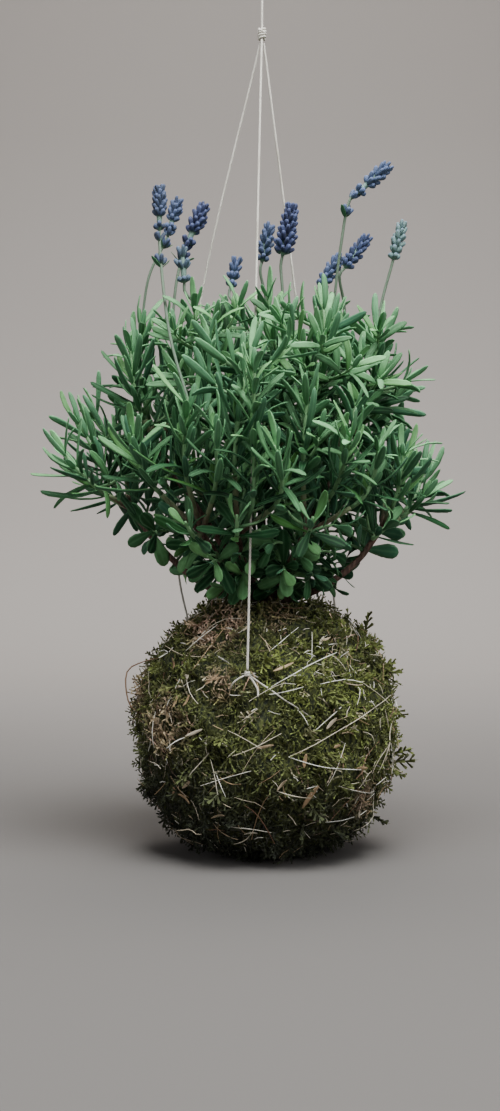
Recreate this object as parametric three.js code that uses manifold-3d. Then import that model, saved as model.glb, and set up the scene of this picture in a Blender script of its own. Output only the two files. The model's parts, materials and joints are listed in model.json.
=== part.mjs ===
// A kokedama: a lavender rooted in a ball of soil, which is wrapped in moss, bound with thread and
// hung by three strings that meet in a knot. Millimetres, +Z up, +Y away from the front. The origin is
// the centre of the small flat spot that the ball rests on.
import * as THREE from 'three';
import { mergeVertices } from 'three/addons/utils/BufferGeometryUtils.js';
import Module from 'manifold-3d';

const wasm = await Module();
wasm.setup();

const GAP = 0.3; // between pieces that touch
const DEGREE = Math.PI / 180;

// The moss ball: outline from the flat spot's edge up to the neck, as radius and height
const MOSS_OUTLINE = [[22, 0], [44, 11], [60, 34], [64.5, 62], [60, 89], [45, 110], [27, 123]];
const MOSS_RINGS = 13;
const MOSS_SIDES = 34;
const MOSS_RELIEF = 2.4; // half the height of its lumps
const BALL_CENTRE = new THREE.Vector3(0, 0, 62);

// The soil: outline of the hollow in the moss, and the hole that the trunk stands in
const SOIL_OUTLINE = [[0, 7], [22, 9.5], [42, 23], [53, 43], [56, 63], [52, 86], [40, 102], [21, 113]];
const SOIL_TOP = 117;
const SOIL_SIDES = 20;
const NECK_RADIUS = 21;
const TRUNK = { bottom: 84, radius: 6.2, sides: 9 };
const TRUNK_BURL = [[7.6, 121.5], [6.6, 126], [0, 128]];

// Thread and strings
const THREAD_RADIUS = 0.55;
const THREAD_LIFT = 0.62; // of the thread's underside above the moss
const LOOP_STEPS = 34;
const OUTSIDE = 150; // from where the moss is felt for
const RAYS = [-0.6, -0.48, -0.36, -0.24, -0.12, 0, 0.12, 0.24, 0.36, 0.48, 0.6]; // in steps
const TIES = { front: [-9, -58, 92], left: [-42, 38, 108], right: [38, 37, 103] };
const TIE_KNOT_RADIUS = 1.7;
const LOOP_POINTS = { right: [60, -20, 42], left: [-60, -24, 40] }; // that the two lower loops pass
const STRING_RADIUS = 0.6;
const STRING_SIDES = 8;
const STRING_STEPS = { front: 6, left: 18, right: 6 };
const KNOT = { centre: [-2, 0, 408], radius: 2.5, halfHeight: 4, offset: 1.2 };
const HANG_LOOP = { bottom: 429, radius: 4.6, knotRadius: 1.4, knotHeight: 4 };
const STRING_VIA = { front: [], left: [[-46, 36, 145], [-35, 20, 268]], right: [] };

// Woody branches: from the trunk's top through the points to the fork that the twigs leave from
const BRANCH_START = [0, 0, 123];
const BRANCHES = {
  left_low: [[-27, -14, 131], [-48, -12, 147], [-68, -8, 171]],
  left_high: [[-17, -7, 146], [-38, -8, 176], [-53, -3, 199]],
  front_left: [[-16, -18, 136], [-31, -33, 158]],
  front: [[-9, -19, 136], [-14, -37, 157]],
  front_right: [[8, -19, 136], [18, -36, 157]],
  right_low: [[24, -14, 130], [43, -14, 143], [57, -12, 161]],
  right_high: [[13, -5, 146], [28, -3, 176], [35, 1, 198]],
  centre: [[-1, 3, 150], [-3, 4, 190]],
  back: [[-7, 17, 138], [-10, 34, 163]],
  back_right: [[10, 15, 138], [20, 32, 162]],
};
const BRANCH_RADIUS = 2.3;
const FORK_RADIUS = 1.7;
const TWIG_RADIUS = 1.15;
const BRANCH_SIDES = 4;
const TWIG_SIDES = 3;

// Leafy shoots: the fork each grows from, where its green stem starts and ends, its pairs of leaves,
// and how long and wide the leaves are
const NARROW = { length: 27, width: 3.9 };
const BROAD = { length: 21, width: 5.6, broad: true };
const SHOOTS = {
  front_tall: ['front', [-15, -51, 184], [-7, -58, 243], 5, NARROW],
  front_right_tall: ['centre', [16, -16, 210], [27, -30, 268], 5, NARROW],
  right_tall: ['right_high', [42, -7, 208], [55, -11, 260], 5, NARROW],
  front_leaning: ['front_right', [29, -45, 174], [38, -63, 204], 4, NARROW],
  right_upper: ['right_low', [61, -17, 170], [66, -27, 198], 3, NARROW],
  right_back: ['right_low', [68, -3, 169], [80, 5, 193], 3, NARROW],
  right_out: ['right_low', [66, -13, 166], [78, -17, 178], 2, NARROW],
  right_front: ['front_right', [40, -36, 170], [52, -46, 199], 3, NARROW],
  left_front_mid: ['front_left', [-37, -46, 180], [-36, -57, 217], 4, NARROW],
  left_tall: ['left_high', [-60, -13, 214], [-66, -20, 248], 4, NARROW],
  left_back_tall: ['left_high', [-60, 6, 220], [-63, 12, 266], 4, NARROW],
  left_inner_tall: ['left_high', [-47, -1, 220], [-47, 2, 262], 4, NARROW],
  left_out_high: ['left_low', [-75, -6, 182], [-94, -5, 215], 4, NARROW],
  left_out_back: ['left_low', [-70, 4, 184], [-88, 19, 218], 4, NARROW],
  left_out_low: ['left_low', [-78, -14, 177], [-99, -20, 198], 3, NARROW],
  left_low_back: ['left_low', [-73, 6, 173], [-92, 16, 184], 2, NARROW],
  left_front_low: ['front_left', [-50, -36, 176], [-62, -49, 204], 3, NARROW],
  centre_left_front: ['front_left', [-26, -48, 172], [-24, -66, 207], 4, NARROW],
  centre_front_low: ['front', [1, -50, 168], [3, -70, 197], 4, NARROW],
  top_left: ['centre', [-22, -9, 212], [-30, -15, 256], 4, NARROW],
  top_left_back: ['centre', [-14, 13, 213], [-13, 16, 260], 4, NARROW],
  top_centre: ['centre', [2, 14, 213], [2, 13, 258], 4, NARROW],
  top_front: ['centre', [3, -8, 214], [8, -9, 260], 4, NARROW],
  top_right: ['right_high', [30, 2, 219], [33, 0, 264], 4, NARROW],
  top_right_back: ['right_high', [40, 15, 215], [42, 21, 258], 4, NARROW],
  right_inner_tall: ['right_high', [48, 6, 212], [55, 12, 258], 4, NARROW],
  low_front: ['front', [-14, -47, 156], [-14, -60, 166], 2, BROAD],
  low_left: ['front_left', [-33, -43, 156], [-38, -56, 163], 2, BROAD],
  low_right: ['front_right', [19, -47, 157], [21, -59, 165], 2, BROAD],
  low_far_right: ['right_low', [52, -22, 156], [61, -28, 164], 2, BROAD],
  low_back: ['back', [-13, 45, 157], [-16, 58, 166], 2, BROAD],
  centre_right_front: ['front_right', [17, -46, 182], [19, -56, 224], 4, NARROW],
  back_left: ['back', [-36, 40, 182], [-52, 56, 214], 4, NARROW],
  back_mid: ['back', [-12, 46, 180], [-15, 68, 218], 4, NARROW],
  back_high: ['back', [-2, 38, 204], [0, 44, 246], 4, NARROW],
  back_left_high: ['left_high', [-52, 20, 210], [-53, 31, 246], 3, NARROW],
  back_right: ['back_right', [28, 46, 182], [36, 62, 220], 4, NARROW],
  back_right_out: ['right_low', [60, 10, 173], [73, 33, 202], 3, NARROW],
  back_right_high: ['back_right', [12, 32, 206], [21, 30, 250], 4, NARROW],
};
const STEM_RADIUS = 1.1;
const STEM_TIP_RADIUS = 0.65;
const BLADE_DEPTH = 1.2;
const FIRST_PAIR = 5; // from the stem's foot to its first pair of leaves
const LAST_PAIR = 2.5; // from the last pair to the tip
const PAIR_HALF = 0.65; // half the height of the stem that a pair takes up
const ROOT_REACH = 4; // how far a leaf may lie against its own stem
const LEAF_GAP = 0.35; // that is kept between leaves, over their balls
const BENDS = [0.75, 0.45, 0.2, -0.3];
const BRACT = { length: 7, width: 3.2 };
const BRACT_PLACE = 0.8; // along the stalk

// Flower spikes: the shoot each grows from, a point that the stalk passes, the spike's foot and tip, its
// width, its whorls of buds, and whether a lower pair of bracts stands on the stalk
const SPIKES = {
  left_dark: ['left_front_mid', [-46, -41, 252], [-52, -22, 305], [-52, -20, 327], 8, 5, true],
  left_back: ['left_back_tall', [-59, 12, 290], [-49, 14, 313], [-45, 16, 328], 8, 4, true],
  left_tilted: ['left_inner_tall', [-45, 3, 284], [-40, 5, 303], [-31, 8, 325], 10, 5, true],
  left_low: ['top_left', [-33, -17, 268], [-40, -20, 280], [-41, -19, 296], 9, 4, false],
  small_back: ['top_left_back', [-14, 18, 273], [-18, 25, 286], [-15, 28, 300], 8, 3, false],
  centre_left: ['top_centre', [0, 12, 278], [-2, 10, 296], [2, 12, 315], 9, 4, true],
  centre_big: ['top_front', [8, -10, 278], [8, -10, 295], [13, -10, 321], 13, 5, false],
  right_high: ['top_right', [37, -4, 300], [45, -5, 327], [61, -5, 341], 9, 4, true],
  right_tilted: ['top_right_back', [40, 16, 276], [40, 10, 293], [52, 12, 309], 9, 4, false],
  right_back: ['back_right_high', [26, 22, 270], [28, 16, 284], [38, 18, 300], 9, 4, false],
  right_pale: ['right_inner_tall', [60, 14, 280], [65, 15, 298], [70, 16, 317], 8, 4, false],
};
const STALK_RADIUS = 0.75;
const BUDS_PER_WHORL = 5;
const BUD_LENGTH = 7;
const BUD_WIDTH = 0.24; // this and the next two in widths of the spike
const BUD_DEPTH = 0.1;
const BUD_CREST = 0.06;
const SPIKE_CORE = [0.19, 0.12];

// Looks, as near to the photograph as one colour and finish per piece can be
const look = (color, roughness) => new THREE.MeshStandardMaterial({ color, roughness, metalness: 0 });
const LOOKS = {
  soil: look(0x3a2c22, 1),
  moss: look(0x5c6230, 0.95),
  thread: look(0xcfc6b6, 0.8),
  wood: look(0x5e4638, 0.85),
  leaf: look(0x41644a, 0.6),
  flower: look(0x4c5488, 0.75),
};

// A seeded draw, so that every run gives the same plant
function seeded(seed) {
  let state = seed >>> 0;
  return () => {
    state = (state + 0x6d2b79f5) >>> 0;
    let mixed = Math.imul(state ^ (state >>> 15), state | 1);
    mixed ^= mixed + Math.imul(mixed ^ (mixed >>> 7), mixed | 61);
    return ((mixed ^ (mixed >>> 14)) >>> 0) / 4294967296;
  };
}

const vector = (point) => new THREE.Vector3(...point);

// A closed skin over rings of points, each turning left about the way the rings go on. A ring of one
// point is a tip or a pole, and a larger first or last ring is closed flat.
function skin(rings) {
  const points = rings.flat();
  const faces = [];
  let start = 0;
  for (let k = 0; k + 1 < rings.length; k += 1) {
    const here = rings[k].length;
    const next = rings[k + 1].length;
    const sides = Math.max(here, next);
    for (let i = 0; i < sides; i += 1) {
      const j = (i + 1) % sides;
      const a = [start + (i % here), start + (j % here)];
      const b = [start + here + (i % next), start + here + (j % next)];
      if (here > 1) faces.push([a[0], a[1], b[0]]);
      if (next > 1) faces.push([a[1], b[1], b[0]]);
    }
    start += here;
  }
  const last = points.length - rings.at(-1).length;
  for (let i = 1; i + 1 < rings[0].length; i += 1) faces.push([0, i + 1, i]);
  for (let i = 1; i + 1 < rings.at(-1).length; i += 1) faces.push([last, last + i, last + i + 1]);
  return solid(points, faces);
}

function solid(points, faces) {
  return new wasm.Manifold(
    new wasm.Mesh({
      numProp: 3,
      vertProperties: Float32Array.from(points.flatMap((p) => p.toArray())),
      triVerts: Uint32Array.from(faces.flat()),
    }),
  );
}

// The solid inside a closed three.js geometry
function solidOf(geometry) {
  geometry.deleteAttribute('normal');
  geometry.deleteAttribute('uv');
  const merged = mergeVertices(geometry);
  return new wasm.Manifold(
    new wasm.Mesh({
      numProp: 3,
      vertProperties: Float32Array.from(merged.attributes.position.array),
      triVerts: Uint32Array.from(merged.index.array),
    }),
  );
}

const joined = (solids) => solids.reduce((whole, each) => whole.add(each));

function meshOf(name, body, material) {
  const { vertProperties, triVerts } = body.getMesh();
  const geometry = new THREE.BufferGeometry();
  geometry.setAttribute('position', new THREE.BufferAttribute(vertProperties, 3));
  geometry.setIndex(new THREE.BufferAttribute(triVerts, 1));
  const mesh = new THREE.Mesh(geometry, material);
  mesh.name = name;
  return mesh;
}

// Two directions across an axis, so that across, over and axis turn left
function across(axis, hint = new THREE.Vector3(0.13, 0.97, 0.21)) {
  const over = hint.clone().addScaledVector(axis, -hint.dot(axis)).normalize();
  return [new THREE.Vector3().crossVectors(over, axis), over];
}

function ring(centre, axis, radius, sides, hint) {
  const [side, over] = across(axis, hint);
  return Array.from({ length: sides }, (_, i) => {
    const angle = ((i + 0.5) / sides) * 2 * Math.PI;
    return centre
      .clone()
      .addScaledVector(side, radius * Math.cos(angle))
      .addScaledVector(over, radius * Math.sin(angle));
  });
}

// A tube through points, thinner or thicker at each, with flat ends or a pointed far end
function tube(points, radii, sides, pointed = false) {
  const last = points.length - 1;
  let hint;
  const rings = points.map((point, i) => {
    const axis = points[Math.min(i + 1, last)].clone().sub(points[Math.max(i - 1, 0)]).normalize();
    hint = across(axis, hint)[1];
    return pointed && i === last ? [point] : ring(point, axis, radii[i], sides, hint);
  });
  return skin(rings);
}

// What each part of the plant takes up, as small balls, so that leaves can be bent clear of it
const taken = [];
const take = (centre, radius, owner, stem = false) => taken.push({ centre, radius, owner, stem });

function takeTube(points, radii, owner, stem) {
  points.slice(1).forEach((point, i) => {
    const from = points[i];
    const steps = Math.ceil(point.distanceTo(from) / 1.6);
    for (let k = 0; k <= steps; k += 1) {
      const t = k / steps;
      take(from.clone().lerp(point, t), THREE.MathUtils.lerp(radii[i], radii[i + 1], t), owner, stem);
    }
  });
}

// The moss: a lumpy shell, flat underneath and open at the neck
function mossRelief(turn, height) {
  const lumps = Math.sin(3 * turn + height * 0.05) * Math.sin(height * 0.09 + 1)
    + 0.8 * Math.sin(7 * turn - height * 0.11) + 0.7 * Math.sin(11 * turn + height * 0.23 + 2);
  return lumps * MOSS_RELIEF * 0.5;
}

function mossBall() {
  const outline = new THREE.SplineCurve(MOSS_OUTLINE.map(([r, z]) => new THREE.Vector2(r, z)));
  const rings = outline.getPoints(MOSS_RINGS).map(({ x: radius, y: height }, k) =>
    Array.from({ length: MOSS_SIDES }, (_, i) => {
      const turn = ((i + (k % 2) / 2) / MOSS_SIDES) * 2 * Math.PI;
      const edge = k === 0 || k === MOSS_RINGS ? 0 : 1;
      const out = radius + edge * mossRelief(turn, height);
      const up = height + edge * 0.4 * mossRelief(turn + 1, height);
      return new THREE.Vector3(out * Math.cos(turn), out * Math.sin(turn), up);
    }));
  return skin([[new THREE.Vector3(0, 0, 0)], ...rings, [new THREE.Vector3(0, 0, MOSS_OUTLINE.at(-1)[1])]]);
}

function lathed(outline, sides, grow = 0) {
  const rings = outline.map(([radius, height]) => (radius === 0
    ? [new THREE.Vector3(0, 0, height - grow)]
    : ring(new THREE.Vector3(0, 0, height), new THREE.Vector3(0, 0, 1), radius + grow, sides)));
  return skin(rings);
}

function soilBall() {
  const ball = lathed([...SOIL_OUTLINE, [NECK_RADIUS - 1, SOIL_TOP]], SOIL_SIDES);
  const hole = lathed([[TRUNK.radius, TRUNK.bottom], [TRUNK.radius, SOIL_TOP + 2]], TRUNK.sides, GAP);
  return ball.subtract(hole.translate(0, 0, -GAP));
}

// The crown: the trunk, its branches and the twigs that carry the shoots
function curveOf(points) {
  return new THREE.CatmullRomCurve3(points.map(vector), false, 'centripetal');
}

const forkOf = (fork) => vector(BRANCHES[fork].at(-1));

function shootLine([fork, from, to]) {
  const base = vector(from);
  const tip = vector(to);
  const way = base.clone().sub(forkOf(fork)).normalize();
  const start = base.clone().addScaledVector(way, GAP);
  const bend = base.clone().addScaledVector(way, 0.45 * tip.distanceTo(base));
  return { base, way, stem: new THREE.QuadraticBezierCurve3(start, bend, tip) };
}

function crownParts() {
  const trunk = [[TRUNK.radius, TRUNK.bottom], [TRUNK.radius, SOIL_TOP + 1], ...TRUNK_BURL];
  const parts = [lathed(trunk, TRUNK.sides)];
  for (const [fork, route] of Object.entries(BRANCHES)) {
    const points = curveOf([BRANCH_START, ...route]).getSpacedPoints(route.length + 1);
    const radii = points.map((_, i) =>
      THREE.MathUtils.lerp(BRANCH_RADIUS, FORK_RADIUS, i / (points.length - 1)));
    const swelling = new THREE.OctahedronGeometry(FORK_RADIUS * 1.5, 0);
    swelling.translate(...forkOf(fork).toArray());
    parts.push(tube(points, radii, BRANCH_SIDES), solidOf(swelling));
    takeTube(points, radii, 'woody_crown');
  }
  for (const shoot of Object.values(SHOOTS)) {
    const points = [forkOf(shoot[0]), shootLine(shoot).base];
    const radii = [TWIG_RADIUS + 0.2, TWIG_RADIUS];
    parts.push(tube(points, radii, TWIG_SIDES));
    takeTube(points, radii, 'woody_crown');
  }
  return parts;
}

// A blade: three-sided, flat above and keeled below, bent along its length. Its sections are given as
// shares of its length, its half width and its depth.
const BLADE_SECTIONS = {
  narrow: [[0.27, 0.88, 0.9], [0.66, 1, 1]],
  broad: [[0.34, 0.55, 0.9], [0.72, 1, 1]],
};
const BUD_SECTIONS = [[0.55, 1, 1]];

function midrib(leaf, s) {
  const turn = leaf.bend * s;
  const reach = leaf.length / leaf.bend;
  const centre = leaf.root
    .clone()
    .addScaledVector(leaf.along, Math.sin(turn) * reach)
    .addScaledVector(leaf.up, (1 - Math.cos(turn)) * reach);
  const up = leaf.up.clone().multiplyScalar(Math.cos(turn)).addScaledVector(leaf.along, -Math.sin(turn));
  return { centre, up };
}

function sectionsOf(leaf) {
  const side = new THREE.Vector3().crossVectors(leaf.up, leaf.along);
  return leaf.sections.map(([s, wide, deep]) => {
    const { centre, up } = midrib(leaf, s);
    const crest = centre.clone().addScaledVector(up, leaf.crest * wide);
    return [
      crest.clone().addScaledVector(side, (leaf.width / 2) * wide),
      crest.clone().addScaledVector(side, (-leaf.width / 2) * wide),
      centre.clone().addScaledVector(up, -leaf.depth * deep),
    ];
  });
}

// A stem and what grows on it as one closed skin. The rings follow the stem, all with as many corners,
// and a growth stands on one face between a ring and the next.
function growthSkin(rings, growths) {
  const points = [];
  const faces = [];
  const put = (list) => list.map((point) => points.push(point) - 1);
  const numbered = rings.map(put);
  const between = (a, b) => a.forEach((_, i) => {
    const j = (i + 1) % a.length;
    faces.push([a[i], a[j], b[i % b.length]]);
    if (b.length > 1) faces.push([a[j], b[j], b[i]]);
  });
  for (let k = 0; k + 1 < numbered.length; k += 1) {
    const [a, b] = [numbered[k], numbered[k + 1]];
    for (let i = 0; i < a.length; i += 1) {
      const j = (i + 1) % a.length;
      const leaf = growths.find((each) => each.ring === k && each.face === i);
      if (!leaf) {
        faces.push([a[i], a[j], b[i % b.length]]);
        if (b.length > 1) faces.push([a[j], b[j], b[i]]);
        continue;
      }
      const sections = sectionsOf(leaf).map(put);
      const [right, left, keel] = sections[0];
      faces.push([b[i], right, b[j]], [b[i], left, right], [b[j], right, a[j]], [a[j], right, keel],
        [a[j], keel, a[i]], [a[i], keel, left], [a[i], left, b[i]]);
      sections.push(put([midrib(leaf, 1).centre]));
      for (let n = 0; n + 1 < sections.length; n += 1) between(sections[n], sections[n + 1]);
    }
  }
  const [first, last] = [numbered[0], numbered.at(-1)];
  for (let i = 1; i + 1 < first.length; i += 1) faces.push([first[0], first[i + 1], first[i]]);
  for (let i = 1; i + 1 < last.length; i += 1) faces.push([last[0], last[i], last[i + 1]]);
  return solid(points, faces);
}

function ballsAlong(leaf) {
  const steps = Math.ceil(leaf.length / 2);
  return Array.from({ length: steps }, (_, k) => {
    const s = (k + 1) / steps;
    const half = (leaf.width / 2) * Math.min(1, 0.45 + s * 1.6, (1.25 - s) * 2);
    return { centre: midrib(leaf, s).centre.addScaledVector(leaf.up, -0.3), radius: half };
  });
}

function isClear(leaf, owner) {
  const near = taken.filter((ball) => ball.centre.distanceTo(leaf.root) < leaf.length + 8);
  return ballsAlong(leaf).every(({ centre, radius }) =>
    near.every((ball) => {
      const own = ball.owner === owner;
      const besideRoot = own && ball.stem && centre.distanceTo(leaf.root) < ROOT_REACH;
      const apart = radius + ball.radius + (own ? LEAF_GAP / 3 : LEAF_GAP);
      return besideRoot || centre.distanceTo(ball.centre) > apart;
    }));
}

// What a leaf tries in turn until it is clear: turned about the stem, lifted or lowered, shorter
const TRIES = [
  [0, 0, 1], [18, 0, 1], [-18, 0, 1], [0, 14, 1], [0, -14, 1], [34, 6, 0.95], [-34, 6, 0.95],
  [14, 18, 0.85], [-14, -16, 0.85], [44, 0, 0.8], [-44, 0, 0.8], [0, 0, 0.66], [24, 8, 0.62], [-24, 8, 0.62],
];

function placeLeaf(owner, stand, heading, lean, size, bend) {
  const { centre, axis, side, over, radius } = stand;
  for (const [turned, lifted, shorter] of TRIES) {
    const angle = (heading + turned) * DEGREE;
    const tilt = Math.max(14, lean + lifted) * DEGREE;
    const face = side.clone().multiplyScalar(Math.cos(heading * DEGREE))
      .addScaledVector(over, Math.sin(heading * DEGREE));
    const out = side.clone().multiplyScalar(Math.cos(angle)).addScaledVector(over, Math.sin(angle));
    const leaf = {
      root: centre.clone().addScaledVector(face, radius * Math.SQRT1_2),
      along: axis.clone().multiplyScalar(Math.cos(tilt)).addScaledVector(out, Math.sin(tilt)),
      up: axis.clone().multiplyScalar(Math.sin(tilt)).addScaledVector(out, -Math.cos(tilt)),
      bend,
      width: size.width,
      length: size.length * shorter,
      depth: BLADE_DEPTH,
      crest: 0,
      sections: BLADE_SECTIONS[size.broad ? 'broad' : 'narrow'],
    };
    if (isClear(leaf, owner)) {
      ballsAlong(leaf).forEach((ball) => take(ball.centre, ball.radius, owner));
      return leaf;
    }
  }
  return null;
}

// A shoot: a square stem with opposite pairs of leaves, each pair a quarter turn on from the last. Where
// a flower stalk grows from it, the stem goes on as the stalk, with its lower whorls.
function shootBody(owner, index, [, , , pairs, size], stem, stalk) {
  const draw = seeded(index * 101 + 7);
  const length = stem.getLength();
  const step = (length - FIRST_PAIR - LAST_PAIR) / pairs;
  let hint = new THREE.Vector3(draw() - 0.5, draw() - 0.5, 0.2 * draw()).normalize();
  const rings = [];
  const growths = [];
  const standAt = (centre, axis, radius) => {
    const [side, over] = across(axis, hint);
    hint = over;
    return { centre, axis, side, over, radius };
  };
  const ringOf = ({ centre, axis, radius }) => rings.push(ring(centre, axis, radius, 4, hint));
  const stemRadius = (t) => THREE.MathUtils.lerp(STEM_RADIUS, STEM_TIP_RADIUS, t * t);
  ringOf(standAt(stem.getPointAt(0), stem.getTangentAt(0), STEM_RADIUS));
  const pairOf = (stand, k, leafOf) => {
    for (const up of [-1, 1]) {
      ringOf({ ...stand, centre: stand.centre.clone().addScaledVector(stand.axis, up * PAIR_HALF) });
    }
    for (const face of [k % 2, (k % 2) + 2]) {
      const leaf = leafOf((face + 1) * 90);
      if (leaf) growths.push({ ...leaf, ring: rings.length - 2, face });
    }
  };
  for (let k = 0; k <= pairs; k += 1) {
    const t = (FIRST_PAIR + k * step) / length;
    const share = k / pairs;
    const stand = standAt(stem.getPointAt(t), stem.getTangentAt(t), stemRadius(t));
    pairOf(stand, k, (heading) => {
      const turned = heading + (draw() - 0.5) * 30;
      const lean = THREE.MathUtils.lerp(64, 24, share) + (draw() - 0.5) * 14;
      const bend = BENDS[Math.floor(draw() * BENDS.length)];
      const grown = size.length * (0.84 + 0.28 * draw()) * (1 - 0.34 * share * share);
      const wide = size.width * (0.88 + 0.24 * draw()) * (1 - 0.15 * share);
      return placeLeaf(owner, stand, turned, lean, { ...size, length: grown, width: wide }, bend);
    });
  }
  if (!stalk) {
    rings.push([stem.getPointAt(1)]);
    return growthSkin(rings, growths);
  }
  const route = curveOf(stalk.line.map((point) => point.toArray()));
  for (const share of [0.12, 0.5, BRACT_PLACE, 1]) {
    const stand = standAt(route.getPointAt(share), route.getTangentAt(share), STALK_RADIUS);
    if (stalk.bracts && share === BRACT_PLACE) {
      pairOf(stand, 0, (heading) => placeLeaf(owner, stand, heading, 48, BRACT, 0.3));
    } else {
      ringOf(stand);
    }
  }
  return growthSkin(rings, growths);
}

// A flower spike: a slim core with whorls of buds, each whorl turned half a step from the last
function spikeBody([, , foot, tip, width, whorls]) {
  const base = vector(foot);
  const axis = vector(tip).sub(base);
  const length = axis.length();
  axis.normalize();
  const [side, over] = across(axis);
  const rings = [];
  const buds = [];
  const coreRing = (share, radius, turned) => rings.push(Array.from({ length: BUDS_PER_WHORL }, (_, i) => {
    const angle = ((i + turned) / BUDS_PER_WHORL) * 2 * Math.PI;
    return base.clone().addScaledVector(axis, share * length)
      .addScaledVector(side, radius * Math.cos(angle)).addScaledVector(over, radius * Math.sin(angle));
  }));
  coreRing(0, STALK_RADIUS + 0.1, 0);
  for (let k = 0; k < whorls; k += 1) {
    const share = (k + 0.35) / whorls * 0.86;
    const rise = k / (whorls - 1);
    const radius = width * THREE.MathUtils.lerp(...SPIKE_CORE, rise * rise);
    const slim = 1 - 0.42 * rise * rise;
    const half = Math.min(1, (0.3 * length) / whorls) / length;
    coreRing(share - half, radius, k / 2);
    coreRing(share + half, radius, k / 2);
    const lean = THREE.MathUtils.lerp(66, 34, rise) * DEGREE;
    const reach = (width / 2) * slim - radius;
    for (let face = 0; face < BUDS_PER_WHORL; face += 1) {
      const angle = ((face + 0.5 + k / 2) / BUDS_PER_WHORL) * 2 * Math.PI;
      const out = side.clone().multiplyScalar(Math.cos(angle)).addScaledVector(over, Math.sin(angle));
      buds.push({
        ring: rings.length - 2,
        face,
        root: base.clone().addScaledVector(axis, share * length).addScaledVector(out, radius * 0.8),
        along: axis.clone().multiplyScalar(Math.cos(lean)).addScaledVector(out, Math.sin(lean)),
        up: axis.clone().multiplyScalar(Math.sin(lean)).addScaledVector(out, -Math.cos(lean)),
        bend: 0.3,
        length: Math.min(reach / Math.sin(lean), BUD_LENGTH),
        width: width * BUD_WIDTH * slim,
        depth: width * BUD_DEPTH * slim,
        crest: width * BUD_CREST * slim,
        sections: BUD_SECTIONS,
      });
    }
  }
  rings.push([base.clone().addScaledVector(axis, length)]);
  return growthSkin(rings, buds);
}

function stalkLine([owner, via, foot, tip]) {
  const stem = shootLine(SHOOTS[owner]).stem;
  const end = vector(foot);
  const axis = vector(tip).sub(end).normalize();
  end.addScaledVector(axis, -GAP);
  const near = end.clone().addScaledVector(axis, -4);
  return [stem.getPointAt(1), vector(via), near, end];
}

// The threads round the ball: each lies in a plane through the ball and follows the moss's surface
function surfaceFinder(body) {
  const finder = new THREE.Mesh(meshOf('finder', body).geometry, new THREE.MeshBasicMaterial());
  finder.material.side = THREE.DoubleSide;
  const ray = new THREE.Raycaster();
  return (from, way) => {
    ray.set(from.clone().addScaledVector(way, OUTSIDE), way.clone().negate());
    return OUTSIDE - ray.intersectObject(finder)[0].distance;
  };
}

function threadLoop(reachOf, through) {
  const [first, second, third] = through;
  const normal = second.clone().sub(first).cross(third.clone().sub(first)).normalize();
  const centre = normal.clone().multiplyScalar(first.clone().sub(BALL_CENTRE).dot(normal)).add(BALL_CENTRE);
  const side = first.clone().sub(centre).normalize();
  const over = new THREE.Vector3().crossVectors(normal, side);
  const rayAt = (turn) => side.clone().multiplyScalar(Math.cos(turn)).addScaledVector(over, Math.sin(turn));
  const step = (2 * Math.PI) / LOOP_STEPS;
  const points = Array.from({ length: LOOP_STEPS }, (_, i) => {
    const reach = Math.max(...RAYS.map((k) => reachOf(centre, rayAt((i + k) * step))));
    return centre.clone().addScaledVector(rayAt(i * step), reach + THREAD_RADIUS / 2 + THREAD_LIFT);
  });
  return { points, normal };
}

function threadBody({ points, normal }) {
  const faces = [];
  const count = points.length;
  const corners = points.flatMap((point) => {
    const out = point.clone().sub(BALL_CENTRE).normalize();
    const beside = new THREE.Vector3().crossVectors(normal, out).normalize();
    const flat = new THREE.Vector3().crossVectors(out, beside).normalize();
    return [0, 1, 2].map((k) => {
      const angle = Math.PI / 2 + (k * 2 * Math.PI) / 3;
      return point
        .clone()
        .addScaledVector(out, THREAD_RADIUS * Math.sin(angle))
        .addScaledVector(flat, -THREAD_RADIUS * Math.cos(angle));
    });
  });
  for (let i = 0; i < count; i += 1) {
    const j = (i + 1) % count;
    for (let k = 0; k < 3; k += 1) {
      const m = (k + 1) % 3;
      faces.push([i * 3 + k, j * 3 + k, i * 3 + m], [i * 3 + m, j * 3 + k, j * 3 + m]);
    }
  }
  return solid(corners, faces);
}

const object = new THREE.Group();
const add = (name, body, material) => object.add(meshOf(name, body, material));

const mossOutside = mossBall();
const neck = [[NECK_RADIUS - 1, SOIL_TOP], [NECK_RADIUS + 1, SOIL_TOP + 20]];
const hollow = lathed([...SOIL_OUTLINE, ...neck], SOIL_SIDES, GAP);
add('soil_ball', soilBall(), LOOKS.soil);
add('moss_wrap', mossOutside.subtract(hollow), LOOKS.moss);

const reachOf = surfaceFinder(mossOutside);
const ties = Object.fromEntries(Object.entries(TIES).map(([name, point]) => {
  const away = vector(point).sub(BALL_CENTRE).normalize();
  const reach = reachOf(BALL_CENTRE, away) + TIE_KNOT_RADIUS + GAP;
  return [name, BALL_CENTRE.clone().addScaledVector(away, reach)];
}));
const loops = [
  threadLoop(reachOf, [ties.front, ties.right, ties.left]),
  threadLoop(reachOf, [ties.front, ties.left, vector(LOOP_POINTS.right)]),
  threadLoop(reachOf, [ties.front, ties.right, vector(LOOP_POINTS.left)]),
];
const raised = (point, height) => point.clone().add(new THREE.Vector3(0, 0, height));
const tieKnots = Object.values(ties).map((point) =>
  tube([-1, -0.5, 0.5, 1].map((k) => raised(point, k * TIE_KNOT_RADIUS)),
    [0.5, 1, 1, 0.5].map((k) => k * TIE_KNOT_RADIUS), 6));
add('binding_thread', joined([...loops.map(threadBody), ...tieKnots]), LOOKS.thread);

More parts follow.
